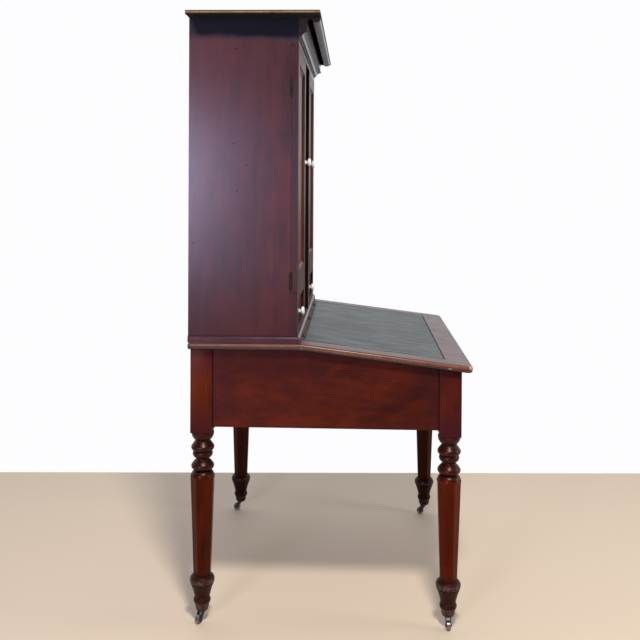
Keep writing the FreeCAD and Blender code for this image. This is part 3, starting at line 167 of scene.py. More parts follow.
def make_grain():
    """Mahogany's figure, for a board whose grain runs along z."""
    tree, given, made = new_group(
        "grain",
        [("Vector", "Vector", None), ("Seed", "Float", 0.0), ("Coarse", "Float", 1.0)],
        [("Tone", "Float"), ("Cloud", "Float"), ("Pores", "Float"), ("Height", "Float")])
    shift = add(tree, "CombineXYZ", {
        "X": given["Seed"],
        "Y": part_of(tree, given["Seed"], SEED_ACROSS),
        "Z": part_of(tree, given["Seed"], SEED_ALONG)}).outputs[0]
    place = add(tree, "VectorMath", {0: given["Vector"], 1: shift}, operation="ADD").outputs[0]
    place = add(tree, "VectorMath", {0: place, "Scale": given["Coarse"]}, operation="SCALE").outputs[0]
    streaks = figure(tree, place, *STREAKS)
    rings_place = stretched(tree, place, (1, 1, RINGS_DRAWN_OUT))
    rings = add(tree, "TexWave", {"Vector": rings_place, **RINGS},
                wave_type="BANDS", bands_direction="DIAGONAL").outputs["Fac"]
    tone = part_of(tree, rings, RINGS_SHARE)
    for layer, share in ((streaks, STREAKS_SHARE),
                         (figure(tree, place, *LINES), LINES_SHARE),
                         (figure(tree, place, *RIBBONS), RIBBONS_SHARE),
                         (figure(tree, place, *MOTTLE), MOTTLE_SHARE)):
        tone = math_node(tree, "MULTIPLY_ADD", layer, share, tone)
    tone = remap(tree, tone, *TONE_SPAN)
    pores = remap(tree, figure(tree, place, *PORES), *PORES_SPAN)
    cloud = remap(tree, figure(tree, place, *CLOUDS), *CLOUDS_SPAN)
    height = math_node(tree, "SUBTRACT", part_of(tree, streaks, STREAKS_RAISED), pores)
    for name, value in (("Tone", tone), ("Cloud", cloud), ("Pores", pores), ("Height", height)):
        tree.links.new(value, made[name])
    return tree


# how well the rounded normal has to agree with the true one, and how open the air has to be
EDGE_TURN = (0.995, 0.90)
EDGE_PATCHES = (38, 4, 0.6, 0.36, 0.58)
EXPOSED_AIR = (0.72, 0.92)
CLOSED_AIR = (0.88, 0.30)


def make_handling():
    """Where hands and dusters wear a thing, and how enclosed its crevices are, which the woods darken with
    dirt and painted shade.
    """
    tree, given, made = new_group(
        "handling",
        [("Vector", "Vector", None), ("Reach", "Float", 0.003), ("Crevice", "Float", 0.03)],
        [("Edge", "Float"), ("Enclosed", "Float")])
    softened = add(tree, "Bevel", {"Radius": given["Reach"]}, samples=4).outputs["Normal"]
    true_normal = add(tree, "NewGeometry").outputs["Normal"]
    agreement = add(tree, "VectorMath", {0: softened, 1: true_normal}, operation="DOT_PRODUCT")
    turned_away = remap(tree, agreement.outputs["Value"], *EDGE_TURN)
    open_air = add(tree, "AmbientOcclusion", {"Distance": given["Crevice"]}, samples=4).outputs["AO"]
    patches = blotches(tree, given["Vector"], *EDGE_PATCHES)
    exposed = remap(tree, open_air, *EXPOSED_AIR)
    edge = part_of(tree, part_of(tree, turned_away, patches), exposed)
    tree.links.new(edge, made["Edge"])
    tree.links.new(remap(tree, open_air, *CLOSED_AIR), made["Enclosed"])
    return tree


grain_group = make_grain()
handling_group = make_handling()

# ---------------------------------------------------------------- timber

GRAIN_TURN = {"z": (0, 0, 0), "x": (0, math.pi / 2, 0), "y": (math.pi / 2, 0, 0)}


def new_material(name):
    material = bpy.data.materials.new(name)
    material.use_nodes = True
    tree = material.node_tree
    tree.nodes.clear()
    shader = add(tree, "BsdfPrincipled")
    tree.links.new(shader.outputs[0], add(tree, "OutputMaterial").inputs["Surface"])
    return material, tree, shader


def feed(tree, shader, **values):
    """Sets or links the shader's sockets; an underscore in a name stands for a space."""
    for name, value in values.items():
        socket = shader.inputs[name.replace("_", " ")]
        if isinstance(value, bpy.types.NodeSocket):
            tree.links.new(value, socket)
        else:
            socket.default_value = value


def axis(tree, vector, name):
    return add(tree, "SeparateXYZ", {0: vector}).outputs[name]


def band(tree, value, low, high, soft):
    """One between low and high, fading out over soft on both sides."""
    rise = remap(tree, value, low - soft, low + soft)
    fall = remap(tree, value, high - soft, high + soft, 1.0, 0.0)
    return math_node(tree, "MULTIPLY", rise, fall)


# crevices darkened to near black where the air is closed in: dirt and painted shade
CREVICE_DIRT_AND_SHADE = "#080303"
CREVICE_DIRT_AND_SHADE_SHARE = 0.8
CREVICE_DIRT_AND_SHADE_ROUGHNESS = 0.25
PORE_DIRT = "#120504"
PORE_SHARE = 0.45
GLOSS_SPREAD = (-0.03, 0.06)


def timber(name, along, colours, seed, wear=0.6, gloss=0.34, coarse=1.0, coat=0.18, coat_gloss=0.16,
           relief=0.00025, cloud=0.5, shine=0.5, tint=(1.0, 1.0, 1.0), zones=None):
    """Polished wood: colours are dark, middle, light and worn. zones may change parts of its look."""
    dark, middle, light, worn = (hue(c) for c in colours)
    material, tree, shader = new_material(name)
    own = add(tree, "TexCoord").outputs["Object"]
    turned = add(tree, "Mapping", {"Vector": own, "Rotation": GRAIN_TURN[along]}).outputs["Vector"]
    grain = use_group(tree, grain_group, Vector=turned, Seed=seed, Coarse=coarse)
    handled = use_group(tree, handling_group, Vector=own)
    colour = mix_colour(tree, grain["Tone"], dark, middle)
    colour = mix_colour(tree, part_of(tree, grain["Cloud"], cloud), colour, light)
    colour = mix_colour(tree, part_of(tree, grain["Pores"], PORE_SHARE), colour, hue(PORE_DIRT))
    smoothest, roughest = (gloss + spread for spread in GLOSS_SPREAD)
    rough = remap(tree, noise(tree, own, 14, 5, 0.65), 0.3, 0.7, smoothest, roughest)
    look = {"colour": colour, "height": grain["Height"], "rough": rough, "coat": coat}
    if zones:
        zones(tree, own, grain, look)
    colour = mix_colour(tree, part_of(tree, handled["Edge"], wear), look["colour"], worn)
    # darkening in the crevices: dirt and painted shade
    colour = mix_colour(tree, part_of(tree, handled["Enclosed"], CREVICE_DIRT_AND_SHADE_SHARE), colour, hue(CREVICE_DIRT_AND_SHADE))
    rough = math_node(tree, "MULTIPLY_ADD", handled["Enclosed"], CREVICE_DIRT_AND_SHADE_ROUGHNESS, look["rough"])
    bump = add(tree, "Bump", {"Strength": 0.6, "Distance": relief, "Height": look["height"]})
    feed(tree, shader, Base_Color=colour, Roughness=rough, Specular_IOR_Level=shine,
         Specular_Tint=(*tint, 1.0), Coat_Weight=look["coat"], Coat_Roughness=coat_gloss,
         Normal=bump.outputs["Normal"])
    return material


def stain(tree, look, share, colour, strength=1.0):
    """Lays a colour over the look, at full strength where share is one."""
    look["colour"] = mix_colour(tree, part_of(tree, share, strength), look["colour"], hue(colour))


def sink(tree, look, share, depth):
    look["height"] = math_node(tree, "MULTIPLY_ADD", share, -depth, look["height"])


def dull(tree, look, share, amount):
    look["rough"] = math_node(tree, "MULTIPLY_ADD", share, amount, look["rough"])


def either(tree, first, second):
    return math_node(tree, "MAXIMUM", first, second)


LID_SLOPE = math.radians(6.9)
FLAT_HEIGHT = 0.951
HINGE_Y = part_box("flat_top")[0].y
POST_BOTTOM = 0.6455
NOSE_CORNER = (-0.5475, -0.4685, 0.884)
CASE_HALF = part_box("case_side_right")[1].x
CASE_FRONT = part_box("door_left_frame")[1].y
BOARD_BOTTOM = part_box("top_board")[0].z

# the edge of the top, in depths square to its surface
EDGE_RUBBED = (0.0025, 0.0105)
EDGE_QUIRK = (0.0110, 0.0122)
EDGE_LOWER = (0.0112, 0.0128)
EDGE_SPECKS = (0.0135, 0.0165)
EDGE_ARRIS = (0.0175, 0.0200)
# distances from the nose's corner: bare wood with a painted highlight, and specks in the finish
NOSE_BARE_AND_HIGHLIGHT = (0.016, 0.007)
NOSE_SPECKED = (0.12, 0.06)
RUBBED_PATCHES = (30, 4, 0.65, 0.3, 0.6)
SCATTERED = (55, 3, 0.6, 0.52, 0.62)
QUIRK_DEPTH = 4.0
# stains, each with its strength
RUBBED_POLISH = ("#7c4a32", 0.65)
LOWER_POLISH = ("#34140f", 0.7)
QUIRK_SHADE = ("#060202", 1.0)
BARE_WOOD_AND_HIGHLIGHT = ("#d0ae80", 0.85)
FLAKED_SPECKS = ("#c0a298", 0.8)
UNDER_EDGE_SHADOW = ("#080203", 0.92)


def edge_zones(slope):
    """The edge of the top: a worn band over a fine quirk, and a darker band under it."""
    def paint(tree, own, grain, look):
        upward = (0, -math.sin(slope), math.cos(slope))
        level = FLAT_HEIGHT * math.cos(slope) - HINGE_Y * math.sin(slope)
        reach = add(tree, "VectorMath", {0: own, 1: upward}, operation="DOT_PRODUCT").outputs["Value"]
        below = math_node(tree, "SUBTRACT", level, reach)
        patchy = blotches(tree, own, *RUBBED_PATCHES, least=0.2)
        rubbed = part_of(tree, band(tree, below, *EDGE_RUBBED, 0.0015), patchy)
        stain(tree, look, rubbed, *RUBBED_POLISH)
        stain(tree, look, remap(tree, below, *EDGE_LOWER), *LOWER_POLISH)
        # the fine quirk: a line of painted shade, with the bump sunk into it
        quirk = band(tree, below, *EDGE_QUIRK, 0.0004)
        stain(tree, look, quirk, *QUIRK_SHADE)
        sink(tree, look, quirk, QUIRK_DEPTH)
        to_nose = add(tree, "VectorMath", {0: own, 1: NOSE_CORNER}, operation="DISTANCE").outputs["Value"]
        # the nose's corner: worn bare wood with a painted highlight
        stain(tree, look, remap(tree, to_nose, *NOSE_BARE_AND_HIGHLIGHT), *BARE_WOOD_AND_HIGHLIGHT)
        specks = part_of(tree, band(tree, below, *EDGE_SPECKS, 0.0008), blotches(tree, own, *SCATTERED))
        specks = part_of(tree, specks, remap(tree, to_nose, *NOSE_SPECKED))
        stain(tree, look, specks, *FLAKED_SPECKS)
        # painted shadow along the lower arris, under the edge
        stain(tree, look, remap(tree, below, *EDGE_ARRIS), *UNDER_EDGE_SHADOW)
    return paint


# a leg, in heights over the floor
POST_MIDDLE = (0.70, 0.86)
NECK_BOTTOM = 0.500
FOOT_TOP = (0.185, 0.158)
FOOT_RIM = (0.138, 0.151)
FOOT_TOE = (0.048, 0.068)
# from the left legs to the right ones, where the far legs' painted shade comes in, and from the front legs to
# the rear ones, where the posts' painted light grows
FAR_LEGS = (0.1, 0.3)
REAR_LEGS = (-0.2, 0.2)
FOOT_PATCHES = (90, 4, 0.65, 0.36, 0.6)
# the post's dark, middle and light colours, and the painted shade at its two ends and on the front posts
POST_COLOURS = ("#220804", "#521a09", "#6e2c10", "#34101a")
NECK_POLISH = ("#120608", 0.66)
FOOT_POLISH = ("#20130d", 0.85)
FOOT_RUBBED_AND_HIGHLIGHT = ("#54443c", 0.7)
FAR_SHADE = ("#0a0202", 0.8)


def leg_zones(tree, own, grain, look):
    """The square post is warmer and painted lighter in its lit middle, old polish is dark round the rings,
    the foot is brown and dull, and the far legs get painted shade.
    """
    z = axis(tree, own, "Z")
    post = remap(tree, z, POST_BOTTOM - 0.001, POST_BOTTOM + 0.001)
    # painted light: the middle of each post, more on the rear ones, keeps the warm colours; its ends and the
    # front posts get painted shade
    rear = remap(tree, axis(tree, own, "Y"), *REAR_LEGS, 0.6, 1.0)
    painted_light = part_of(tree, band(tree, z, *POST_MIDDLE, 0.06), rear)
    dark, middle, light, ends = (hue(code) for code in POST_COLOURS)
    warm = mix_colour(tree, grain["Tone"], dark, middle)
    warm = mix_colour(tree, part_of(tree, grain["Cloud"], 0.6), warm, light)
    warm = mix_colour(tree, painted_light, ends, warm)
    look["colour"] = mix_colour(tree, post, look["colour"], warm)
    neck = band(tree, z, NECK_BOTTOM, POST_BOTTOM - 0.003, 0.004)
    stain(tree, look, neck, *NECK_POLISH)
    foot = remap(tree, z, *FOOT_TOP)
    stain(tree, look, foot, *FOOT_POLISH)
    # the foot's rim and toe: rubbed wear with a painted highlight
    turnings = either(tree, band(tree, z, *FOOT_RIM, 0.003), band(tree, z, *FOOT_TOE, 0.004))
    rubbed = part_of(tree, turnings, blotches(tree, own, *FOOT_PATCHES))
    stain(tree, look, rubbed, *FOOT_RUBBED_AND_HIGHLIGHT)
    dull(tree, look, foot, 0.14)
    # painted shade on the far legs
    stain(tree, look, remap(tree, axis(tree, own, "X"), *FAR_LEGS), *FAR_SHADE)
    look["coat"] = either(tree, part_of(tree, neck, 0.2), part_of(tree, rubbed, 0.4))


# a side apron: its grimy joints with the posts, and the stretches inside them and the strip under the top,
# which get painted shade
REAR_JOINT = 0.0034
FRONT_JOINT = 0.0024
REAR_SHADE = 0.06
FRONT_SHADE = 0.03
UNDER_TOP = (0.80, 0.93)
JOINT_DEPTH = 6.0
VIOLET_STRETCH = (1, 1, 1.7)
VIOLET_PATCHES = (11, 8, 0.72, 0.44, 0.57)
GOLDEN_STRETCH = (1, 0.7, 1.5)
GOLDEN_PATCHES = (8.3, 8, 0.72, 0.51, 0.62, 0.5)
APRON_SHADE = ("#301019", 1.0)
VIOLET_POLISH = ("#2c0e12", 0.5)
GOLDEN_POLISH = ("#5c2008", 0.35)
JOINT_DIRT = ("#040202", 1.0)


def apron_zones(low, high):
    """Dirt in the joints at the apron's two ends, and painted shade near the posts and in a strip under the
    top.
    """
    def paint(tree, own, grain, look):
        y = axis(tree, own, "Y")
        clear = band(tree, y, low + FRONT_JOINT, high - REAR_JOINT, 0.0008)
        joint = math_node(tree, "SUBTRACT", 1.0, clear)
        open_length = band(tree, y, low + FRONT_SHADE, high - REAR_SHADE, 0.05)
        ends = math_node(tree, "SUBTRACT", 1.0, open_length)
        top = remap(tree, axis(tree, own, "Z"), *UNDER_TOP)
        # painted shade near the posts and under the top
        stain(tree, look, either(tree, part_of(tree, ends, 0.5), part_of(tree, top, 0.45)), *APRON_SHADE)
        violet = blotches(tree, stretched(tree, own, VIOLET_STRETCH), *VIOLET_PATCHES)
        stain(tree, look, violet, *VIOLET_POLISH)
        golden = blotches(tree, stretched(tree, own, GOLDEN_STRETCH), *GOLDEN_PATCHES)
        stain(tree, look, golden, *GOLDEN_POLISH)
        sink(tree, look, joint, JOINT_DEPTH)
        stain(tree, look, joint, *JOINT_DIRT)
    return paint


# the side of the case, in heights over the floor
CASE_LOW_END = (1.20, 1.00)
CASE_HIGH_END = (1.60, 1.84)
OVERHANG_SHADOW_LINE = (1.938, 1.960)
OVERHANG_SHADOW_WAVER = 0.02
# the painted shadow thins out at the back, along a slanting line
OVERHANG_SHADOW_SLANT = 0.45
OVERHANG_SHADOW_BACK = (-0.415, -0.45)
AWAY_FROM_BACK = (0.44, 0.30)
CASE_STRETCH = (1, 1, 0.6)
CASE_PATCHES = (5.5, 6, 0.66, 0.46, 0.66)
CASE_WARM = ("#5c2016", 0.4)
CASE_STRIP = ("#180c12", 0.5)
CASE_ENDS_SHADE = ("#3a1409", 0.4)
OVERHANG_SHADOW = ("#030a18", 0.94)


def case_zones(tree, own, grain, look):
    """The strip under the top board's overhang has a painted shadow, the side's ends are painted darker as
    shade, and warm patches show lower down.
    """
    y, z = axis(tree, own, "Y"), axis(tree, own, "Z")
    patches = blotches(tree, stretched(tree, own, CASE_STRETCH), *CASE_PATCHES)
    stain(tree, look, part_of(tree, patches, remap(tree, y, *AWAY_FROM_BACK)), *CASE_WARM)
    stain(tree, look, remap(tree, y, CASE_FRONT + 0.002, CASE_FRONT), *CASE_STRIP)
    low_end = remap(tree, z, *CASE_LOW_END)
    high_end = remap(tree, z, *CASE_HIGH_END)
    # the side's upper and lower ends painted darker, as shade where the sheen falls off
    stain(tree, look, either(tree, low_end, high_end), *CASE_ENDS_SHADE)
    # painted shadow of the top board's overhang, wavering, and thinning out towards the back
    wavering = math_node(tree, "MULTIPLY_ADD", grain["Cloud"], -OVERHANG_SHADOW_WAVER, z)
    slanting = math_node(tree, "MULTIPLY_ADD", z, -OVERHANG_SHADOW_SLANT, y)
    overhang_shadow = part_of(tree, remap(tree, wavering, *OVERHANG_SHADOW_LINE), remap(tree, slanting, *OVERHANG_SHADOW_BACK))
    stain(tree, look, overhang_shadow, *OVERHANG_SHADOW)
    dull(tree, look, overhang_shadow, 0.3)
    spoilt = either(tree, part_of(tree, low_end, 0.7), part_of(tree, high_end, 0.5))
    spoilt = either(tree, part_of(tree, overhang_shadow, 0.9), spoilt)
    look["coat"] = part_of(tree, math_node(tree, "SUBTRACT", 1.0, spoilt), look["coat"])


LINES_STRETCH = (0.004, 1, 0.6)
FINE_LINES = (260, 2, 0.5, 0.54, 0.64)
LINES_DEPTH = 2.0
CORNICE_DARK_LINES = ("#0a0706", 0.8)
CUT_ENDS = ("#160607", 0.85)


def cornice_zones(tree, own, grain, look):
    """Fine dark lines run along the cornice, and its cut ends are dark."""
    lines = blotches(tree, stretched(tree, own, LINES_STRETCH), *FINE_LINES)
    across = math_node(tree, "ABSOLUTE", axis(tree, own, "X"))
    ends = remap(tree, across, CASE_HALF - 0.0015, CASE_HALF - 0.0005)
    # darker fine lines along the cornice
    stain(tree, look, lines, *CORNICE_DARK_LINES)
    stain(tree, look, ends, *CUT_ENDS)
    spoilt = either(tree, part_of(tree, lines, 0.6), ends)
    dull(tree, look, spoilt, 0.35)
    sink(tree, look, lines, LINES_DEPTH)
    look["coat"] = part_of(tree, math_node(tree, "SUBTRACT", 1.0, spoilt), look["coat"])


# the top board's edge, in heights over its underside
BOARD_RUBBED = (0.0042, 0.007)
BOARD_UPPER = (0.0078, 0.0095)
BOARD_UNDER = (0.0038, 0.0022)
BOARD_PATCHES = (24, 4, 0.65, 0.35, 0.6)
BOARD_GOLDEN = ("#a07a44", 0.7)
BOARD_DARKER = ("#231a10", 0.6)
BOARD_UNDERSIDE_SHADE = ("#080404", 0.92)


def board_zones(tree, own, grain, look):
    """The top board's edge is golden where it is rubbed, and its underside and lower arris get painted shade.
    """
    rise = math_node(tree, "SUBTRACT", axis(tree, own, "Z"), BOARD_BOTTOM)
    patchy = blotches(tree, own, *BOARD_PATCHES, least=0.2)
    stain(tree, look, part_of(tree, band(tree, rise, *BOARD_RUBBED, 0.001), patchy), *BOARD_GOLDEN)
    stain(tree, look, remap(tree, rise, *BOARD_UPPER), *BOARD_DARKER)
    # painted shade on the underside of the overhang
    low = remap(tree, rise, *BOARD_UNDER)
    stain(tree, look, low, *BOARD_UNDERSIDE_SHADE)
    dull(tree, look, low, 0.3)


# dark, middle, light and worn
CASE_COLOURS = ("#190809", "#3c1216", "#521915", "#704030")
DOOR_COLOURS = ("#2e120b", "#582718", "#713820", "#a06a45")
CORNICE_COLOURS = ("#2c0f0a", "#552114", "#6c3119", "#9a7050")
APRON_COLOURS = ("#160504", "#3f110a", "#5a1f0a", "#6c3a22")
LEG_COLOURS = ("#1a0401", "#480d03", "#5e1804", "#7c4226")
TOP_COLOURS = ("#33170f", "#512619", "#6a3824", "#9c6e4c")
BOARD_COLOURS = ("#241912", "#443322", "#5a4730", "#7a664c")
INSIDE_COLOURS = ("#220c08", "#48200f", "#5e2e18", "#7a4a30")
DEAL_COLOURS = ("#5c3d24", "#74502d", "#8a6439", "#a98a62")
HOLLOW_SHADE_COLOURS = ("#050607", "#0a0c0e", "#0e1012", "#1c1c1c")
BAY_DIRT_AND_SHADE_COLOURS = ("#080304", "#160807", "#1e0c09", "#3a1c14")

# the shine of old polish is never white: red on the legs and aprons, and violet where the sky is in it
RED_TINT = (1.0, 0.36, 0.2)
ROSE_TINT = (1.0, 0.44, 0.40)
SKY_TINT = (0.92, 0.84, 1.0)

# how far a side apron reaches into each post
TENON = 0.024
apron_low, apron_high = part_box("apron_left")
apron_clear = (apron_low.y + TENON, apron_high.y - TENON)
UNPOLISHED = dict(wear=0.2, coat=0.0)
TOP_POLISH = dict(wear=0.8, gloss=0.34, coat=0.08, shine=0.35)
APRON_POLISH = dict(wear=0.3, gloss=0.34, coat=0.0, shine=0.22, tint=ROSE_TINT)
wood = {
    "case_z": timber("mahogany_case_upright", "z", CASE_COLOURS, 0.0, wear=0.35, gloss=0.33, cloud=0.35,
                     shine=0.22, coat=0.62, coat_gloss=0.27, tint=SKY_TINT, zones=case_zones),
    "case_x": timber("mahogany_case_level", "x", CASE_COLOURS, 3.1, wear=0.7, gloss=0.3),
    "case_y": timber("mahogany_case_return", "y", CASE_COLOURS, 5.3, wear=0.7, gloss=0.3, coat=0.06,
                     shine=0.4, tint=SKY_TINT),
    "crown_x": timber("mahogany_crown", "x", CORNICE_COLOURS, 6.2, wear=0.3, gloss=0.26,
                      relief=0.0008, coat=0.8, coat_gloss=0.3, zones=cornice_zones),
    "hollow_shade_x": timber("mahogany_hollow_shade", "x", HOLLOW_SHADE_COLOURS, 6.9, wear=0.1, gloss=0.7, coat=0.0,
                     shine=0.0),
    "bay_dirt_and_shade_z": timber("mahogany_bay_dirt_and_shade", "z", BAY_DIRT_AND_SHADE_COLOURS, 8.4, gloss=0.5, shine=0.1, **UNPOLISHED),
    "moulding_x": timber("mahogany_cornice", "x", CORNICE_COLOURS, 7.7, wear=0.3, gloss=0.28,
                         coat=0.6, relief=0.0006, zones=cornice_zones),
    "board_x": timber("mahogany_top_board", "x", BOARD_COLOURS, 9.1, wear=0.9, gloss=0.5, coat=0.0,
                      shine=0.3, zones=board_zones),
    "door_z": timber("mahogany_door_upright", "z", DOOR_COLOURS, 11.9, wear=0.5, coat=0.03, shine=0.05),
    "door_x": timber("mahogany_door_level", "x", DOOR_COLOURS, 13.7, wear=0.5, coat=0.08, shine=0.05),
    "panel_z": timber("mahogany_panel", "z", DOOR_COLOURS, 17.3, wear=0.2, coarse=0.8, coat=0.05,
                      shine=0.25),
    "apron_y": timber("mahogany_apron_side", "y", APRON_COLOURS, 19.2, cloud=0.7,
                      zones=apron_zones(*apron_clear), **APRON_POLISH),
    "apron_x": timber("mahogany_apron_front", "x", APRON_COLOURS, 23.5, **APRON_POLISH),
    "leg_z": timber("mahogany_leg", "z", LEG_COLOURS, 29.9, wear=0.12, gloss=0.30, coat_gloss=0.32,
                    shine=0.22, tint=RED_TINT, zones=leg_zones),
    "top_x": timber("mahogany_top", "x", TOP_COLOURS, 31.4, zones=edge_zones(0.0), **TOP_POLISH),
    "lid_x": timber("mahogany_lid_front", "x", TOP_COLOURS, 33.4, zones=edge_zones(LID_SLOPE), **TOP_POLISH),
    "lid_y": timber("mahogany_lid_side", "y", TOP_COLOURS, 37.8, zones=edge_zones(LID_SLOPE), **TOP_POLISH),
    "inside_z": timber("mahogany_inside_upright", "z", INSIDE_COLOURS, 41.6, gloss=0.55, **UNPOLISHED),
    "inside_x": timber("mahogany_inside_level", "x", INSIDE_COLOURS, 43.3, gloss=0.55, **UNPOLISHED),
    "deal_x": timber("deal_level", "x", DEAL_COLOURS, 47.1, gloss=0.62, **UNPOLISHED),
    "deal_y": timber("deal_runner", "y", DEAL_COLOURS, 53.6, gloss=0.62, **UNPOLISHED),
    "deal_z": timber("deal_upright", "z", DEAL_COLOURS, 59.4, gloss=0.62, **UNPOLISHED),
}

# ---------------------------------------------------------------- leather, porcelain and metals


LEATHER_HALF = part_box("lid_leather")[1].x
LEATHER_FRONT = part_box("lid_leather")[0].y
# the dark ragged outline along the leather's sides and front, in distances from those edges
OUTLINE_SIDE = (0.0085, 0.0060)
OUTLINE_FRONT = (0.0060, 0.0036)
OUTLINE_RAGGED = 0.008
PEBBLES = 900.0
SLEEVE_STRETCH = (1, 0.16, 1)
SLEEVE_MARKS = (46, 5, 0.6, 0.5)
MOTTLED_LEATHER = (9, 5, 0.6, 0.35, 0.68, 0.6)
# dark, light, rubbed, dirty and outlined
LEATHER_COLOURS = ("#1c2322", "#2c3533", "#4a534e", "#0c0f0e", "#050606")


def make_leather():
    """A green-black skiver, rubbed along its length by ledgers and sleeves."""
    material, tree, shader = new_material("leather_skiver")
    own = add(tree, "TexCoord").outputs["Object"]
    dark, light, worn, dirty, outlined = (hue(code) for code in LEATHER_COLOURS)
    pebble = add(tree, "TexVoronoi", {"Vector": own, "Scale": PEBBLES}, feature="F1").outputs["Distance"]
    rubbed = noise(tree, stretched(tree, own, SLEEVE_STRETCH), *SLEEVE_MARKS)
    handled = use_group(tree, handling_group, Vector=own, Crevice=0.012)
    colour = mix_colour(tree, blotches(tree, own, *MOTTLED_LEATHER), dark, light)
    colour = mix_colour(tree, remap(tree, rubbed, 0.5, 0.75, 0, 0.5), colour, worn)
    colour = mix_colour(tree, part_of(tree, handled["Enclosed"], 0.6), colour, dirty)
    wander = noise(tree, own, 90, 4, 0.65)
    ragged = math_node(tree, "MULTIPLY_ADD", wander, OUTLINE_RAGGED, -OUTLINE_RAGGED / 2)
    across = math_node(tree, "ADD", math_node(tree, "ABSOLUTE", axis(tree, own, "X")), ragged)
    forward = math_node(tree, "ADD", axis(tree, own, "Y"), ragged)
    sides = remap(tree, across, *(LEATHER_HALF - inset for inset in OUTLINE_SIDE))
    front = remap(tree, forward, *(LEATHER_FRONT + inset for inset in OUTLINE_FRONT))
    outline = either(tree, sides, front)
    colour = mix_colour(tree, part_of(tree, outline, 0.9), colour, outlined)
    smooth = remap(tree, rubbed, 0.3, 0.7, 0.5, 0.36)
    rough = math_node(tree, "MULTIPLY_ADD", outline, 0.5, smooth)
    height = math_node(tree, "ADD", part_of(tree, pebble, 0.5), part_of(tree, rubbed, 1.4))
    bump = add(tree, "Bump", {"Strength": 0.45, "Distance": 0.0004, "Height": height})
    feed(tree, shader, Base_Color=colour, Roughness=rough, Normal=bump.outputs["Normal"])
    return material


GLAZE_WHITE = "#eceef2"
GLAZE_GREY = "#dcdce0"
GLAZE_DIRT = "#5a4a3a"


def make_porcelain():
    """A bluish white glaze, with brown dirt round the neck."""
    material, tree, shader = new_material("porcelain_glaze")
    own = add(tree, "TexCoord").outputs["Object"]
    handled = use_group(tree, handling_group, Vector=own, Crevice=0.006)
    clouded = noise(tree, own, 60, 3, 0.5)
    colour = mix_colour(tree, remap(tree, clouded, 0.35, 0.7, 0, 0.5), hue(GLAZE_WHITE), hue(GLAZE_GREY))
    colour = mix_colour(tree, part_of(tree, handled["Enclosed"], 0.55), colour, hue(GLAZE_DIRT))
    rough = remap(tree, clouded, 0.3, 0.7, 0.08, 0.2)
    feed(tree, shader, Base_Color=colour, Roughness=rough, Coat_Weight=0.6, Coat_Roughness=0.06)
    return material


METAL_PATCHES = (160, 5, 0.65, 0.36, 0.64)
CRUST_PATCHES = (90, 6, 0.7, 0.5, 0.66)
CRUST_ROUGHNESS = 0.8
CRUST_METALLIC = 0.3


def make_metal(name, colours, rough, crust=0.5, metallic=1.0, specular=0.5):
    """Old metal: colours are bright, where it rubs, then dull, and the crust in its hollows."""
    bright, dim, crust_colour = (hue(c) for c in colours)
    material, tree, shader = new_material(name)
    own = add(tree, "TexCoord").outputs["Object"]
    handled = use_group(tree, handling_group, Vector=own, Reach=0.0015, Crevice=0.01)
    patchy = blotches(tree, own, *METAL_PATCHES)
    colour = mix_colour(tree, patchy, dim, bright)
    colour = mix_colour(tree, handled["Edge"], colour, bright)
    crusted = part_of(tree, blotches(tree, own, *CRUST_PATCHES), crust)
    crusted = either(tree, crusted, part_of(tree, handled["Enclosed"], CREVICE_DIRT_AND_SHADE_SHARE))
    colour = mix_colour(tree, crusted, colour, crust_colour)
    roughness = remap(tree, crusted, 0, 1, rough, CRUST_ROUGHNESS)
    bare = remap(tree, crusted, 0, 1, metallic, metallic * CRUST_METALLIC)
    bump = add(tree, "Bump", {"Strength": 0.5, "Distance": 0.0003, "Height": patchy})
    feed(tree, shader, Base_Color=colour, Roughness=roughness, Metallic=bare,
         Specular_IOR_Level=specular, Normal=bump.outputs["Normal"])
    return material


leather = make_leather()
porcelain = make_porcelain()
brass = make_metal("brass_tarnished", ("#4c3e2a", "#281c14", "#140c08"), 0.45, crust=0.75)
iron = make_metal("iron_japanned", ("#4a423d", "#1d1816", "#2b1710"), 0.45, crust=0.6, metallic=0.7)
wheel_metal = make_metal("castor_wheel_worn", ("#b0aca6", "#6d6762", "#382a20"), 0.32, crust=0.35)
nail_iron = make_metal("nail_iron_rusted", ("#0e0608", "#060304", "#0a0405"), 0.8, crust=0.9,
                       metallic=0.0, specular=0.02)

# ---------------------------------------------------------------- finish of the CAD nodes

# each wood, and how the names of its nodes start
FINISH = {
    "leg_z": ("leg_",),
    "apron_x": ("apron_front", "apron_rear"),
    "apron_y": ("apron_left", "apron_right"),
    "top_x": ("flat_top",),
    "case_z": ("case_side_",),
    "board_x": ("top_board",),
    "crown_x": ("cornice_crown",),
    "moulding_x": ("case_top_rail", "cornice_frieze", "cornice_bed"),
    "panel_z": ("door_left_panel", "door_right_panel"),
    "door_x": ("drawer_dividers", "drawer_beds", "drawer_left_front", "drawer_right_front"),
    "inside_x": ("lid_panel", "case_floor", "case_ceiling", "side_shelves", "centre_shelf"),
    "inside_z": ("partitions",),
    "deal_x": ("well_floor", "drawer_stops"),
    "deal_y": ("well_ledgers", "drawer_left_box", "drawer_right_box"),
    "deal_z": ("case_back_boards",),
}
HINGE_LEAVES = ("lid_hinge_fixed_leaves", "lid_hinge_moving_leaves", "door_hinge_fixed_leaves",
                "door_left_hinge_leaves", "door_right_hinge_leaves")
# how near a face's middle lies to the plane it is in
IN_PLANE = 0.001
# a door's rail runs this far past the ends of the moulding
RAIL_OVERLAP = 0.011


def dress(node, materials):
    """Gives a CAD node its materials, without touching its shape."""
    node.data.materials.clear()
    for material in materials:
        node.data.materials.append(material)


def choose_by_place(node, rule):
    """Picks a material slot for each face from the face's middle."""
    for face in node.data.polygons:
        face.material_index = rule(face.center)


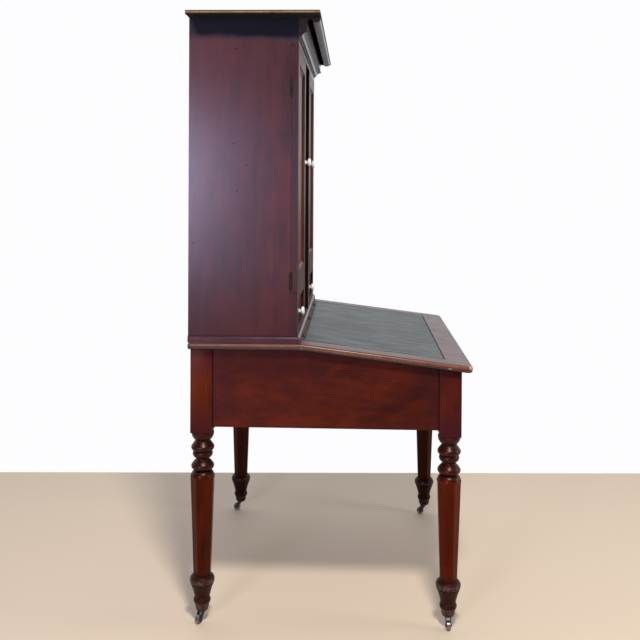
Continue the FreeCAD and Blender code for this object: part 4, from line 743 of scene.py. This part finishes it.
for name, node in nodes.items():
    for key, starts in FINISH.items():
        if name.startswith(starts):
            dress(node, [wood[key]])
    if name.endswith("_knob"):
        dress(node, [porcelain])
    if name.startswith("castor_wheel"):
        dress(node, [wheel_metal])
    if name.startswith(("castor_fork", "castor_plates")):
        dress(node, [iron])
for name in HINGE_LEAVES:
    dress(nodes[name], [brass])

dress(nodes["lid_leather"], [leather])
dress(nodes["lid_frame"], [wood["lid_x"], wood["lid_y"]])
choose_by_place(nodes["lid_frame"], lambda at: 0 if at.y < LEATHER_FRONT else 1)

dress(nodes["base_moulding"], [wood["case_x"], wood["case_y"]])
case_side_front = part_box("case_side_left")[0].y
choose_by_place(nodes["base_moulding"], lambda at: 0 if at.y < case_side_front else 1)

# the stiles' faces towards the open bay are dark with dirt and painted shade
dress(nodes["inner_stiles"], [wood["door_z"], wood["bay_dirt_and_shade_z"]])
bay_half = min(abs(vert.co.x) for vert in nodes["inner_stiles"].data.vertices)
choose_by_place(nodes["inner_stiles"], lambda at: 1 if abs(abs(at.x) - bay_half) < IN_PLANE / 2 else 0)


def door_frame_slot(at, moulding, hinge_side, bay_side):
    """The stiles, the rails, the face towards the hinges, or the one towards the open bay, dark with dirt and
    painted shade.
    """
    if abs(at.x - hinge_side) < IN_PLANE:
        return 2
    if abs(at.x - bay_side) < IN_PLANE:
        return 3
    low, high = moulding
    between_stiles = low.x - RAIL_OVERLAP < at.x < high.x + RAIL_OVERLAP
    return 1 if between_stiles and not low.z < at.z < high.z else 0


def door_moulding_slot(at, moulding):
    """The upright lengths or the level ones, parted at the mitres."""
    low, high = moulding
    from_sides = min(at.x - low.x, high.x - at.x)
    from_ends = min(at.z - low.z, high.z - at.z)
    return 0 if from_sides < from_ends else 1


for side in ("left", "right"):
    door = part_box(f"door_{side}_frame")
    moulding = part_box(f"door_{side}_moulding")
    hinge_side, bay_side = (corner.x for corner in (door if side == "left" else door[::-1]))
    dress(nodes[f"door_{side}_frame"], [wood["door_z"], wood["door_x"], wood["case_z"], wood["bay_dirt_and_shade_z"]])
    choose_by_place(nodes[f"door_{side}_frame"],
                    lambda at: door_frame_slot(at, moulding, hinge_side, bay_side))
    dress(nodes[f"door_{side}_moulding"], [wood["door_z"], wood["door_x"]])
    choose_by_place(nodes[f"door_{side}_moulding"], lambda at: door_moulding_slot(at, moulding))

# ---------------------------------------------------------------- help for new pieces


def new_piece(name, bm, material, body, sharp=math.radians(32)):
    """Makes an object of a bmesh, smooth but for its sharp edges, and lets it ride on its body."""
    bmesh.ops.remove_doubles(bm, verts=bm.verts, dist=1e-6)
    bmesh.ops.recalc_face_normals(bm, faces=bm.faces)
    for face in bm.faces:
        face.smooth = True
    mesh = bpy.data.meshes.new(name)
    bm.to_mesh(mesh)
    bm.free()
    mesh.set_sharp_from_angle(angle=sharp)
    mesh.materials.append(material)
    piece = bpy.data.objects.new(name, mesh)
    bpy.context.scene.collection.objects.link(piece)
    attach(piece, body)
    return piece


def arc(start, middle, end, steps):
    """Points after start on the circle through three points of an outline."""
    a, b, c = (Vector(p) for p in (start, middle, end))
    turn = 2 * (a.x * (b.y - c.y) + b.x * (c.y - a.y) + c.x * (a.y - b.y))
    aa, bb, cc = a.length_squared, b.length_squared, c.length_squared
    centre = Vector(((aa * (b.y - c.y) + bb * (c.y - a.y) + cc * (a.y - b.y)) / turn,
                     (aa * (c.x - b.x) + bb * (a.x - c.x) + cc * (b.x - a.x)) / turn))
    ahead, aim, finish = ((p - centre) for p in (a, b, c))
    halfway = ahead.angle_signed(aim)
    sweep = halfway + aim.angle_signed(finish)
    return [centre + Matrix.Rotation(-sweep * step / steps, 2) @ ahead for step in range(1, steps + 1)]


# ---------------------------------------------------------------- turned legs

# the outline of a leg from the castor up, in millimetres: (radius, height) of an arc's middle or None,
# then of the stretch's end. STOCK is wood that the plane takes off afterwards.
STOCK = 60
LEG_TURNING = [
    (None, (20.6, 46)), (None, (22.4, 49.5)), (None, (23.8, 63)),
    ((28.8, 75.5), (25.0, 85.5)),
    ((30.6, 108.5), (38.6, 131.5)),
    (None, (37.4, 133)), (None, (39.6, 134.5)),
    ((41.6, 146), (34.5, 158.8)),
    (None, (STOCK, 160.5)), (None, (STOCK, 485)), (None, (41.8, 487)),
    ((41.2, 492.5), (39.0, 499)),
    ((35.2, 507.5), (26.5, 514.5)),
    (None, (25.0, 516.5)),
    ((38.4, 527.3), (35.0, 537.5)),
    (None, (31.0, 543)), (None, (25.6, 548.5)),
    ((22.2, 552.5), (26.4, 557.5)),
    ((33.6, 569), (30.6, 579.3)),
    (None, (29.8, 580.2)),
    ((38.6, 589.5), (35.4, 600)),
    (None, (30.6, 607)), (None, (26.0, 612.2)),
    ((24.7, 614.8), (27.0, 617.6)),
    ((33.2, 625), (37.0, 634.5)),
    (None, (37.9, 640)), (None, (37.2, 644.6)), (None, (34.0, 647)), (None, (0, 647)),
]
LEG_CENTRE_LOW = (0, 46)
ARC_STEPS = 9
LATHE_STEPS = 96
# the taper's half width over the flats, at two heights, and where and how it swells into the round
TAPER_HALF = ((160.5, 27.6), (482, 37.8))
TAPER_RUNOUT = (489, 3.6, 5.0)
TAPER_REACH = (0.1595, NECK_BOTTOM)
TAPER_SIDES = 8
POST_HALF = 0.0365
CHAMFER_HEIGHT = 0.016
CHAMFER_DEPTH = 0.0028
ARRIS = 0.0014
ARRIS_STEPS = 3


def turned_outline():
    """Every point of the leg's outline, in metres."""
    outline = [Vector(LEG_CENTRE_LOW)]
    for middle, end in LEG_TURNING:
        outline += arc(outline[-1], middle, end, ARC_STEPS) if middle else [Vector(end)]
    return [point / 1000 for point in outline]


def eight_sided_half(height):
    """Half the width over the flats of the taper; near the top the flats run out into the round."""
    (low, low_half), (high, high_half) = TAPER_HALF
    start, rise, length = TAPER_RUNOUT
    half = low_half + (high_half - low_half) * (height * 1000 - low) / (high - low)
    runout = max(0.0, height * 1000 - start) / length
    return (half + rise * runout ** 2) / 1000


def cut_off(bm, verts, at, outward):
    """Saws away what lies outside a plane, and closes the cut."""
    faces = {face for vert in verts for face in vert.link_faces}
    edges = {edge for face in faces for edge in face.edges}
    cut = bmesh.ops.bisect_plane(bm, geom=list(verts) + list(edges) + list(faces), dist=1e-7, plane_co=at,
                                 plane_no=outward.normalized(), clear_outer=True)
    open_edges = [g for g in cut["geom_cut"] if isinstance(g, bmesh.types.BMEdge)]
    bmesh.ops.holes_fill(bm, edges=open_edges, sides=0)


def turn_leg(bm):
    """Turns the leg below its post on the lathe, and planes the taper to eight sides."""
    points = [bm.verts.new((p.x, 0, p.y)) for p in turned_outline()]
    edges = [bm.edges.new(pair) for pair in zip(points, points[1:])]
    bmesh.ops.spin(bm, geom=points + edges, cent=(0, 0, 0), axis=(0, 0, 1), dvec=(0, 0, 0),
                   angle=math.tau, steps=LATHE_STEPS, use_merge=True, use_duplicate=False)
    flat = math.tau / TAPER_SIDES
    for vert in bm.verts:
        radius = math.hypot(vert.co.x, vert.co.y)
        if TAPER_REACH[0] < vert.co.z < TAPER_REACH[1] and radius > 0:
            off_flat = (math.atan2(vert.co.y, vert.co.x) + flat / 2) % flat - flat / 2
            keep = min(radius, eight_sided_half(vert.co.z) / math.cos(off_flat))
            vert.co.x *= keep / radius
            vert.co.y *= keep / radius


def make_leg(end, side):
    """One length of wood: a square post, turned rings, an eight-sided taper and a turned foot."""
    node = f"leg_{end}_{side}"
    low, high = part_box(node)
    bm = bmesh.new()
    turn_leg(bm)
    turned = set(bm.verts)

    post = bmesh.ops.create_cube(bm, size=1.0)["verts"]
    post_height = high.z - POST_BOTTOM
    bmesh.ops.scale(bm, vec=(2 * POST_HALF, 2 * POST_HALF, post_height), verts=post)
    bmesh.ops.translate(bm, vec=(0, 0, POST_BOTTOM + post_height / 2), verts=post)
    inward = -1 if end == "rear" else 1
    corner = Vector((0, inward * POST_HALF, POST_BOTTOM + CHAMFER_HEIGHT))
    cut_off(bm, post, corner, Vector((0, inward * CHAMFER_HEIGHT, -CHAMFER_DEPTH)))
    if end == "front":
        post = [vert for vert in bm.verts if vert not in turned]
        lid_side = Vector((0, -math.sin(LID_SLOPE), math.cos(LID_SLOPE)))
        cut_off(bm, post, Vector((0, POST_HALF, high.z)), lid_side)
    arrises = {edge for vert in bm.verts if vert not in turned for edge in vert.link_edges}
    bmesh.ops.bevel(bm, geom=list(arrises), offset=ARRIS, offset_type="OFFSET", segments=ARRIS_STEPS,
                    profile=0.5, affect="EDGES", material=-1, clamp_overlap=True)
    middle = ((low.x + high.x) / 2, (low.y + high.y) / 2, 0)
    bmesh.ops.translate(bm, vec=middle, verts=bm.verts)
    piece = new_piece(f"turned_{node}", bm, wood["leg_z"], "desk")
    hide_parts(node)


# ---------------------------------------------------------------- crown of the cornice

# the crown's section, front to back, in millimetres behind its front and over its underside
CROWN_SECTION = [
    (0.0, 15.0), (0.0, 10.2), (0.9, 9.6), (0.4, 8.6), (0.5, 7.4), (1.3, 5.6), (2.5, 4.0), (3.4, 3.9),
    (3.6, 2.9), (4.9, 1.9), (6.6, 1.1), (7.5, 1.3), (8.1, 0.6), (10.6, 0.15), (12.8, 0.0), (13.4, 0.8),
    (14.2, 0.1),
    (16.6, 0.0), (19.2, 0.0), (19.8, 0.8), (20.5, 0.1), (22.6, 0.0), (24.4, 0.0), (25.0, 0.6), (25.2, 3.2),
    (26.6, 6.4), (29.4, 8.8), (33.2, 9.6), (37.2, 8.6), (40.2, 6.2), (41.6, 3.2), (41.8, 0.0), (43.0, 0.0),
    (43.0, 15.0),
]
CROWN_HOLLOW_START = 0.0250
CROWN_STEPS = 24
CROWN_SHARP = math.radians(38)


def make_crown():
    """The crown: a rounded face with fine quirks, and a deep hollow behind it painted near black as shade,
    along the whole front.
    """
    low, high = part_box("cornice_crown")
    bm = bmesh.new()
    section = [bm.verts.new((low.x, low.y + back / 1000, low.z + up / 1000)) for back, up in CROWN_SECTION]
    swept = [bm.edges.new(pair) for pair in zip(section, section[1:] + section[:1])]
    step = Vector(((high.x - low.x) / CROWN_STEPS, 0, 0))
    for _ in range(CROWN_STEPS):
        grown = bmesh.ops.extrude_edge_only(bm, edges=swept)["geom"]
        ahead = {g for g in grown if isinstance(g, bmesh.types.BMVert)}
        bmesh.ops.translate(bm, vec=step, verts=list(ahead))
        swept = [g for g in grown if isinstance(g, bmesh.types.BMEdge) and ahead.issuperset(g.verts)]
    bmesh.ops.holes_fill(bm, edges=[edge for edge in bm.edges if edge.is_boundary], sides=0)
    piece = new_piece("crown_moulded", bm, wood["crown_x"], "desk", sharp=CROWN_SHARP)
    # the hollow behind the crown's face is painted near black as shade
    piece.data.materials.append(wood["hollow_shade_x"])
    for face in piece.data.polygons:
        end_grain = abs(face.normal.x) > 0.5
        faces_front = face.normal.y < -0.99
        if face.center.y > low.y + CROWN_HOLLOW_START and not end_grain and not faces_front:
            face.material_index = 1
    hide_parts("cornice_crown")


# ---------------------------------------------------------------- leather

SKIVER_GRID = (170, 100)
# how much waves lower the leather, and how many there are to the metre across and along, with a seed
SKIVER_WAVE = 0.00012
LONG_WAVES = (34, 5, 0.7)
SHORT_WAVES = (80, 22, 4.2)
SHORT_WAVES_SHARE = 0.6
WAVES_SHARE = 0.6
SKIVER_TURNED_DOWN = 0.0009
SKIVER_EDGE = 0.0032
SKIVER_KNUCKLE_GAP = 0.0042
SKIVER_UNDER = 0.0014
SKIVER_SHARP = math.radians(50)
LEVEL_GAP = 0.00004


def waves(x, y, kind):
    across, along, seed = kind
    return field.noise(Vector((x * across, y * along, seed)))


def make_skiver():
    """The lid's leather: glued down, a little wavy, and pressed into its rebate at the edges."""
    low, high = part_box("lid_leather")
    half_width = high.x
    front = (HINGE_Y - low.y) / math.cos(LID_SLOPE)
    half_depth = (front - SKIVER_KNUCKLE_GAP) / 2
    bm = bmesh.new()
    bmesh.ops.create_grid(bm, x_segments=SKIVER_GRID[0], y_segments=SKIVER_GRID[1], size=1.0)
    for vert in bm.verts:
        x = math.sin(vert.co.x * math.pi / 2) * half_width
        y = math.sin(vert.co.y * math.pi / 2) * half_depth
        inside = min(1.0, min(half_width - abs(x), half_depth - abs(y)) / SKIVER_EDGE)
        wave = waves(x, y, LONG_WAVES) + SHORT_WAVES_SHARE * waves(x, y, SHORT_WAVES)
        turned_down = SKIVER_TURNED_DOWN * (1 - inside) ** 2
        vert.co = (x, y, -turned_down - SKIVER_WAVE * (1 + WAVES_SHARE * wave) - LEVEL_GAP)
    rim = [edge for edge in bm.edges if edge.is_boundary]
    walls = bmesh.ops.extrude_edge_only(bm, edges=rim)["geom"]
    lower = [g for g in walls if isinstance(g, bmesh.types.BMVert)]
    for vert in lower:
        vert.co.z = -SKIVER_UNDER
    bmesh.ops.holes_fill(bm, edges=[edge for edge in bm.edges if edge.is_boundary], sides=0)
    place = (Matrix.Translation((0, HINGE_Y, FLAT_HEIGHT)) @ Matrix.Rotation(LID_SLOPE, 4, "X")
             @ Matrix.Translation((0, -SKIVER_KNUCKLE_GAP - half_depth, 0)))
    bmesh.ops.transform(bm, matrix=place, verts=bm.verts)
    piece = new_piece("skiver", bm, leather, "lid", sharp=SKIVER_SHARP)
    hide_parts("lid_leather")


# ---------------------------------------------------------------- nails

# nails through the left side into the shelves and the ceiling: metres from the back edge, and height
SIDE_NAILS = ((0.156, 1.923), (0.149, 1.610), (0.160, 1.453), (0.014, 1.281), (0.193, 1.539))
SIDE_NAIL_RADIUS = 0.0024
BACK_NAIL_RADIUS = 0.0021
BACK_NAILS = 12
BACK_NAIL_WANDER = 0.006
NAIL_PROUD = 0.0002
NAIL_SIDES = 14
NAIL_RIM = 0.35
NAIL_HOLLOW = 0.6


def add_nail(bm, at, outward, radius):
    """A nail's head, punched a little hollow."""
    place = Matrix.Translation(at) @ outward.to_track_quat("Z", "Y").to_matrix().to_4x4()
    disc = bmesh.ops.create_circle(bm, cap_ends=True, segments=NAIL_SIDES, radius=radius, matrix=place)
    head = disc["verts"][0].link_faces[0]
    raised = bmesh.ops.extrude_face_region(bm, geom=[head], use_keep_orig=True)["geom"]
    top = [g for g in raised if isinstance(g, bmesh.types.BMVert)]
    bmesh.ops.translate(bm, vec=outward * NAIL_PROUD, verts=top)
    face = next(g for g in raised if isinstance(g, bmesh.types.BMFace))
    bmesh.ops.inset_individual(bm, faces=[face], thickness=radius * NAIL_RIM, depth=-NAIL_PROUD * NAIL_HOLLOW)


def make_side_nails():
    """Nails in the case's left side."""
    bm = bmesh.new()
    low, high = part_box("case_side_left")
    for from_back, height in SIDE_NAILS:
        add_nail(bm, Vector((low.x, high.y - from_back, height)), Vector((-1, 0, 0)), SIDE_NAIL_RADIUS)
    new_piece("nails_case_side", bm, nail_iron, "desk")


def middle_height(node):
    low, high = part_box(node)
    return (low.z + high.z) / 2


def make_back_nails():
    """Nails that hold the back boards, in rows over the floor, the shelves and the ceiling."""
    bm = bmesh.new()
    low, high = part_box("case_back_boards")
    for row, node in enumerate(("case_floor", "side_shelves", "case_ceiling")):
        for number in range(BACK_NAILS):
            x = low.x + (high.x - low.x) * (number + 0.5) / BACK_NAILS
            wander = field.noise(Vector((number * 3.7, row * 9.1, 2.0))) * BACK_NAIL_WANDER
            at = Vector((x + wander, high.y - NAIL_PROUD, middle_height(node) + wander))
            add_nail(bm, at, Vector((0, 1, 0)), BACK_NAIL_RADIUS)
    new_piece("nails_back_boards", bm, nail_iron, "desk")


for end in ("front", "rear"):
    for side in ("left", "right"):
        make_leg(end, side)
make_crown()
make_skiver()
make_side_nails()
make_back_nails()

# ---------------------------------------------------------------- floor, light and camera


FLOOR_REACH = 14.0
BACKDROP_X = 1.0025
BACKDROP_TURN = 0.049
FLOOR_COLOUR = "#d6c3aa"


def make_floor():
    """A plain floor that ends behind the desk, where a pale backdrop begins."""
    bm = bmesh.new()
    bmesh.ops.create_grid(bm, x_segments=1, y_segments=1, size=1.0)
    bmesh.ops.scale(bm, vec=(FLOOR_REACH / 2, FLOOR_REACH, 1), verts=bm.verts)
    bmesh.ops.translate(bm, vec=(BACKDROP_X - FLOOR_REACH / 2, 0, 0), verts=bm.verts)
    turn = Matrix.Rotation(BACKDROP_TURN, 3, "Z")
    bmesh.ops.rotate(bm, cent=(BACKDROP_X, 0, 0), matrix=turn, verts=bm.verts)
    mesh = bpy.data.meshes.new("floor")
    bm.to_mesh(mesh)
    bm.free()
    floor = bpy.data.objects.new("floor", mesh)
    bpy.context.scene.collection.objects.link(floor)
    material, tree, shader = new_material("pale_floor")
    feed(tree, shader, Base_Color=hue(FLOOR_COLOUR), Roughness=0.6)
    mesh.materials.append(material)


# name, place, aim, width, power and colour
LIGHTS = (
    ("key", (-2.9, -0.4, 4.2), (0, 0, 1.0), 0.6, 175, (1.0, 0.96, 0.92)),
    ("window", (-5.0, 2.0, 1.55), (-0.5, 0.3, 1.3), 1.4, 125, (0.68, 0.69, 1.0)),
    ("front_window", (-0.6, -4.6, 1.9), (0, 0, 1.0), 1.6, 55, (1.0, 0.97, 0.94)),
)


def make_light(name, at, aim, size, power, colour):
    data = bpy.data.lights.new(name, "AREA")
    data.shape = "DISK"
    data.size = size
    data.energy = power
    data.color = colour
    lamp = bpy.data.objects.new(name, data)
    lamp.location = at
    lamp.rotation_euler = (Vector(aim) - Vector(at)).to_track_quat("-Z", "Y").to_euler()
    bpy.context.scene.collection.objects.link(lamp)


DARK_ROOM = (0.085, 0.088, 0.10, 1)
PALE_WALL = (0.92, 0.94, 1.0, 1)
BACKDROP = (0.98, 0.98, 0.995, 1)
WALL_STARTS = (-0.25, 0.45)
HORIZON = (-0.05, 0.0)
BELOW_HORIZON = 0.2


def make_world():
    """A dark room on the clerk's left and a pale wall on the other side; the backdrop is even."""
    world = bpy.data.worlds.new("studio")
    world.use_nodes = True
    tree = world.node_tree
    background = tree.nodes["Background"]
    outward = add(tree, "TexCoord").outputs["Generated"]
    wall = remap(tree, axis(tree, outward, "X"), *WALL_STARTS)
    upper = remap(tree, axis(tree, outward, "Z"), *HORIZON, BELOW_HORIZON, 1.0)
    room = mix_colour(tree, part_of(tree, wall, upper), DARK_ROOM, PALE_WALL)
    seen = add(tree, "LightPath").outputs["Is Camera Ray"]
    tree.links.new(mix_colour(tree, seen, room, BACKDROP), background.inputs["Color"])
    bpy.context.scene.world = world


# the view: the camera stands to the left of the desk, at a standing eye's height
EYE = Vector((-3.3389, -0.0776, 1.4828))
TURN = 0.0382
RISE = -0.0100
ROLL = 0.0056
FRAME_SIZE = 640
FOCAL = 852.2
AXIS_COLUMN = 321.6
AXIS_ROW = 191.1
SENSOR = 36.0


def make_camera():
    data = bpy.data.cameras.new("camera")
    data.sensor_width = SENSOR
    data.lens = SENSOR * FOCAL / FRAME_SIZE
    data.shift_x = (FRAME_SIZE / 2 - AXIS_COLUMN) / FRAME_SIZE
    data.shift_y = (AXIS_ROW - FRAME_SIZE / 2) / FRAME_SIZE
    ahead = Vector((math.cos(TURN) * math.cos(RISE), math.sin(TURN) * math.cos(RISE), math.sin(RISE)))
    right = Vector((math.sin(TURN), -math.cos(TURN), 0))
    up = right.cross(ahead)
    right_rolled = right * math.cos(ROLL) + up * math.sin(ROLL)
    up_rolled = up * math.cos(ROLL) - right * math.sin(ROLL)
    camera = bpy.data.objects.new("camera", data)
    camera.matrix_world = (Matrix.Translation(EYE)
                           @ Matrix((right_rolled, up_rolled, -ahead)).transposed().to_4x4())
    bpy.context.scene.collection.objects.link(camera)
    bpy.context.scene.camera = camera


make_floor()
make_world()
for light in LIGHTS:
    make_light(*light)
make_camera()
bpy.context.scene.view_settings.view_transform = "Standard"
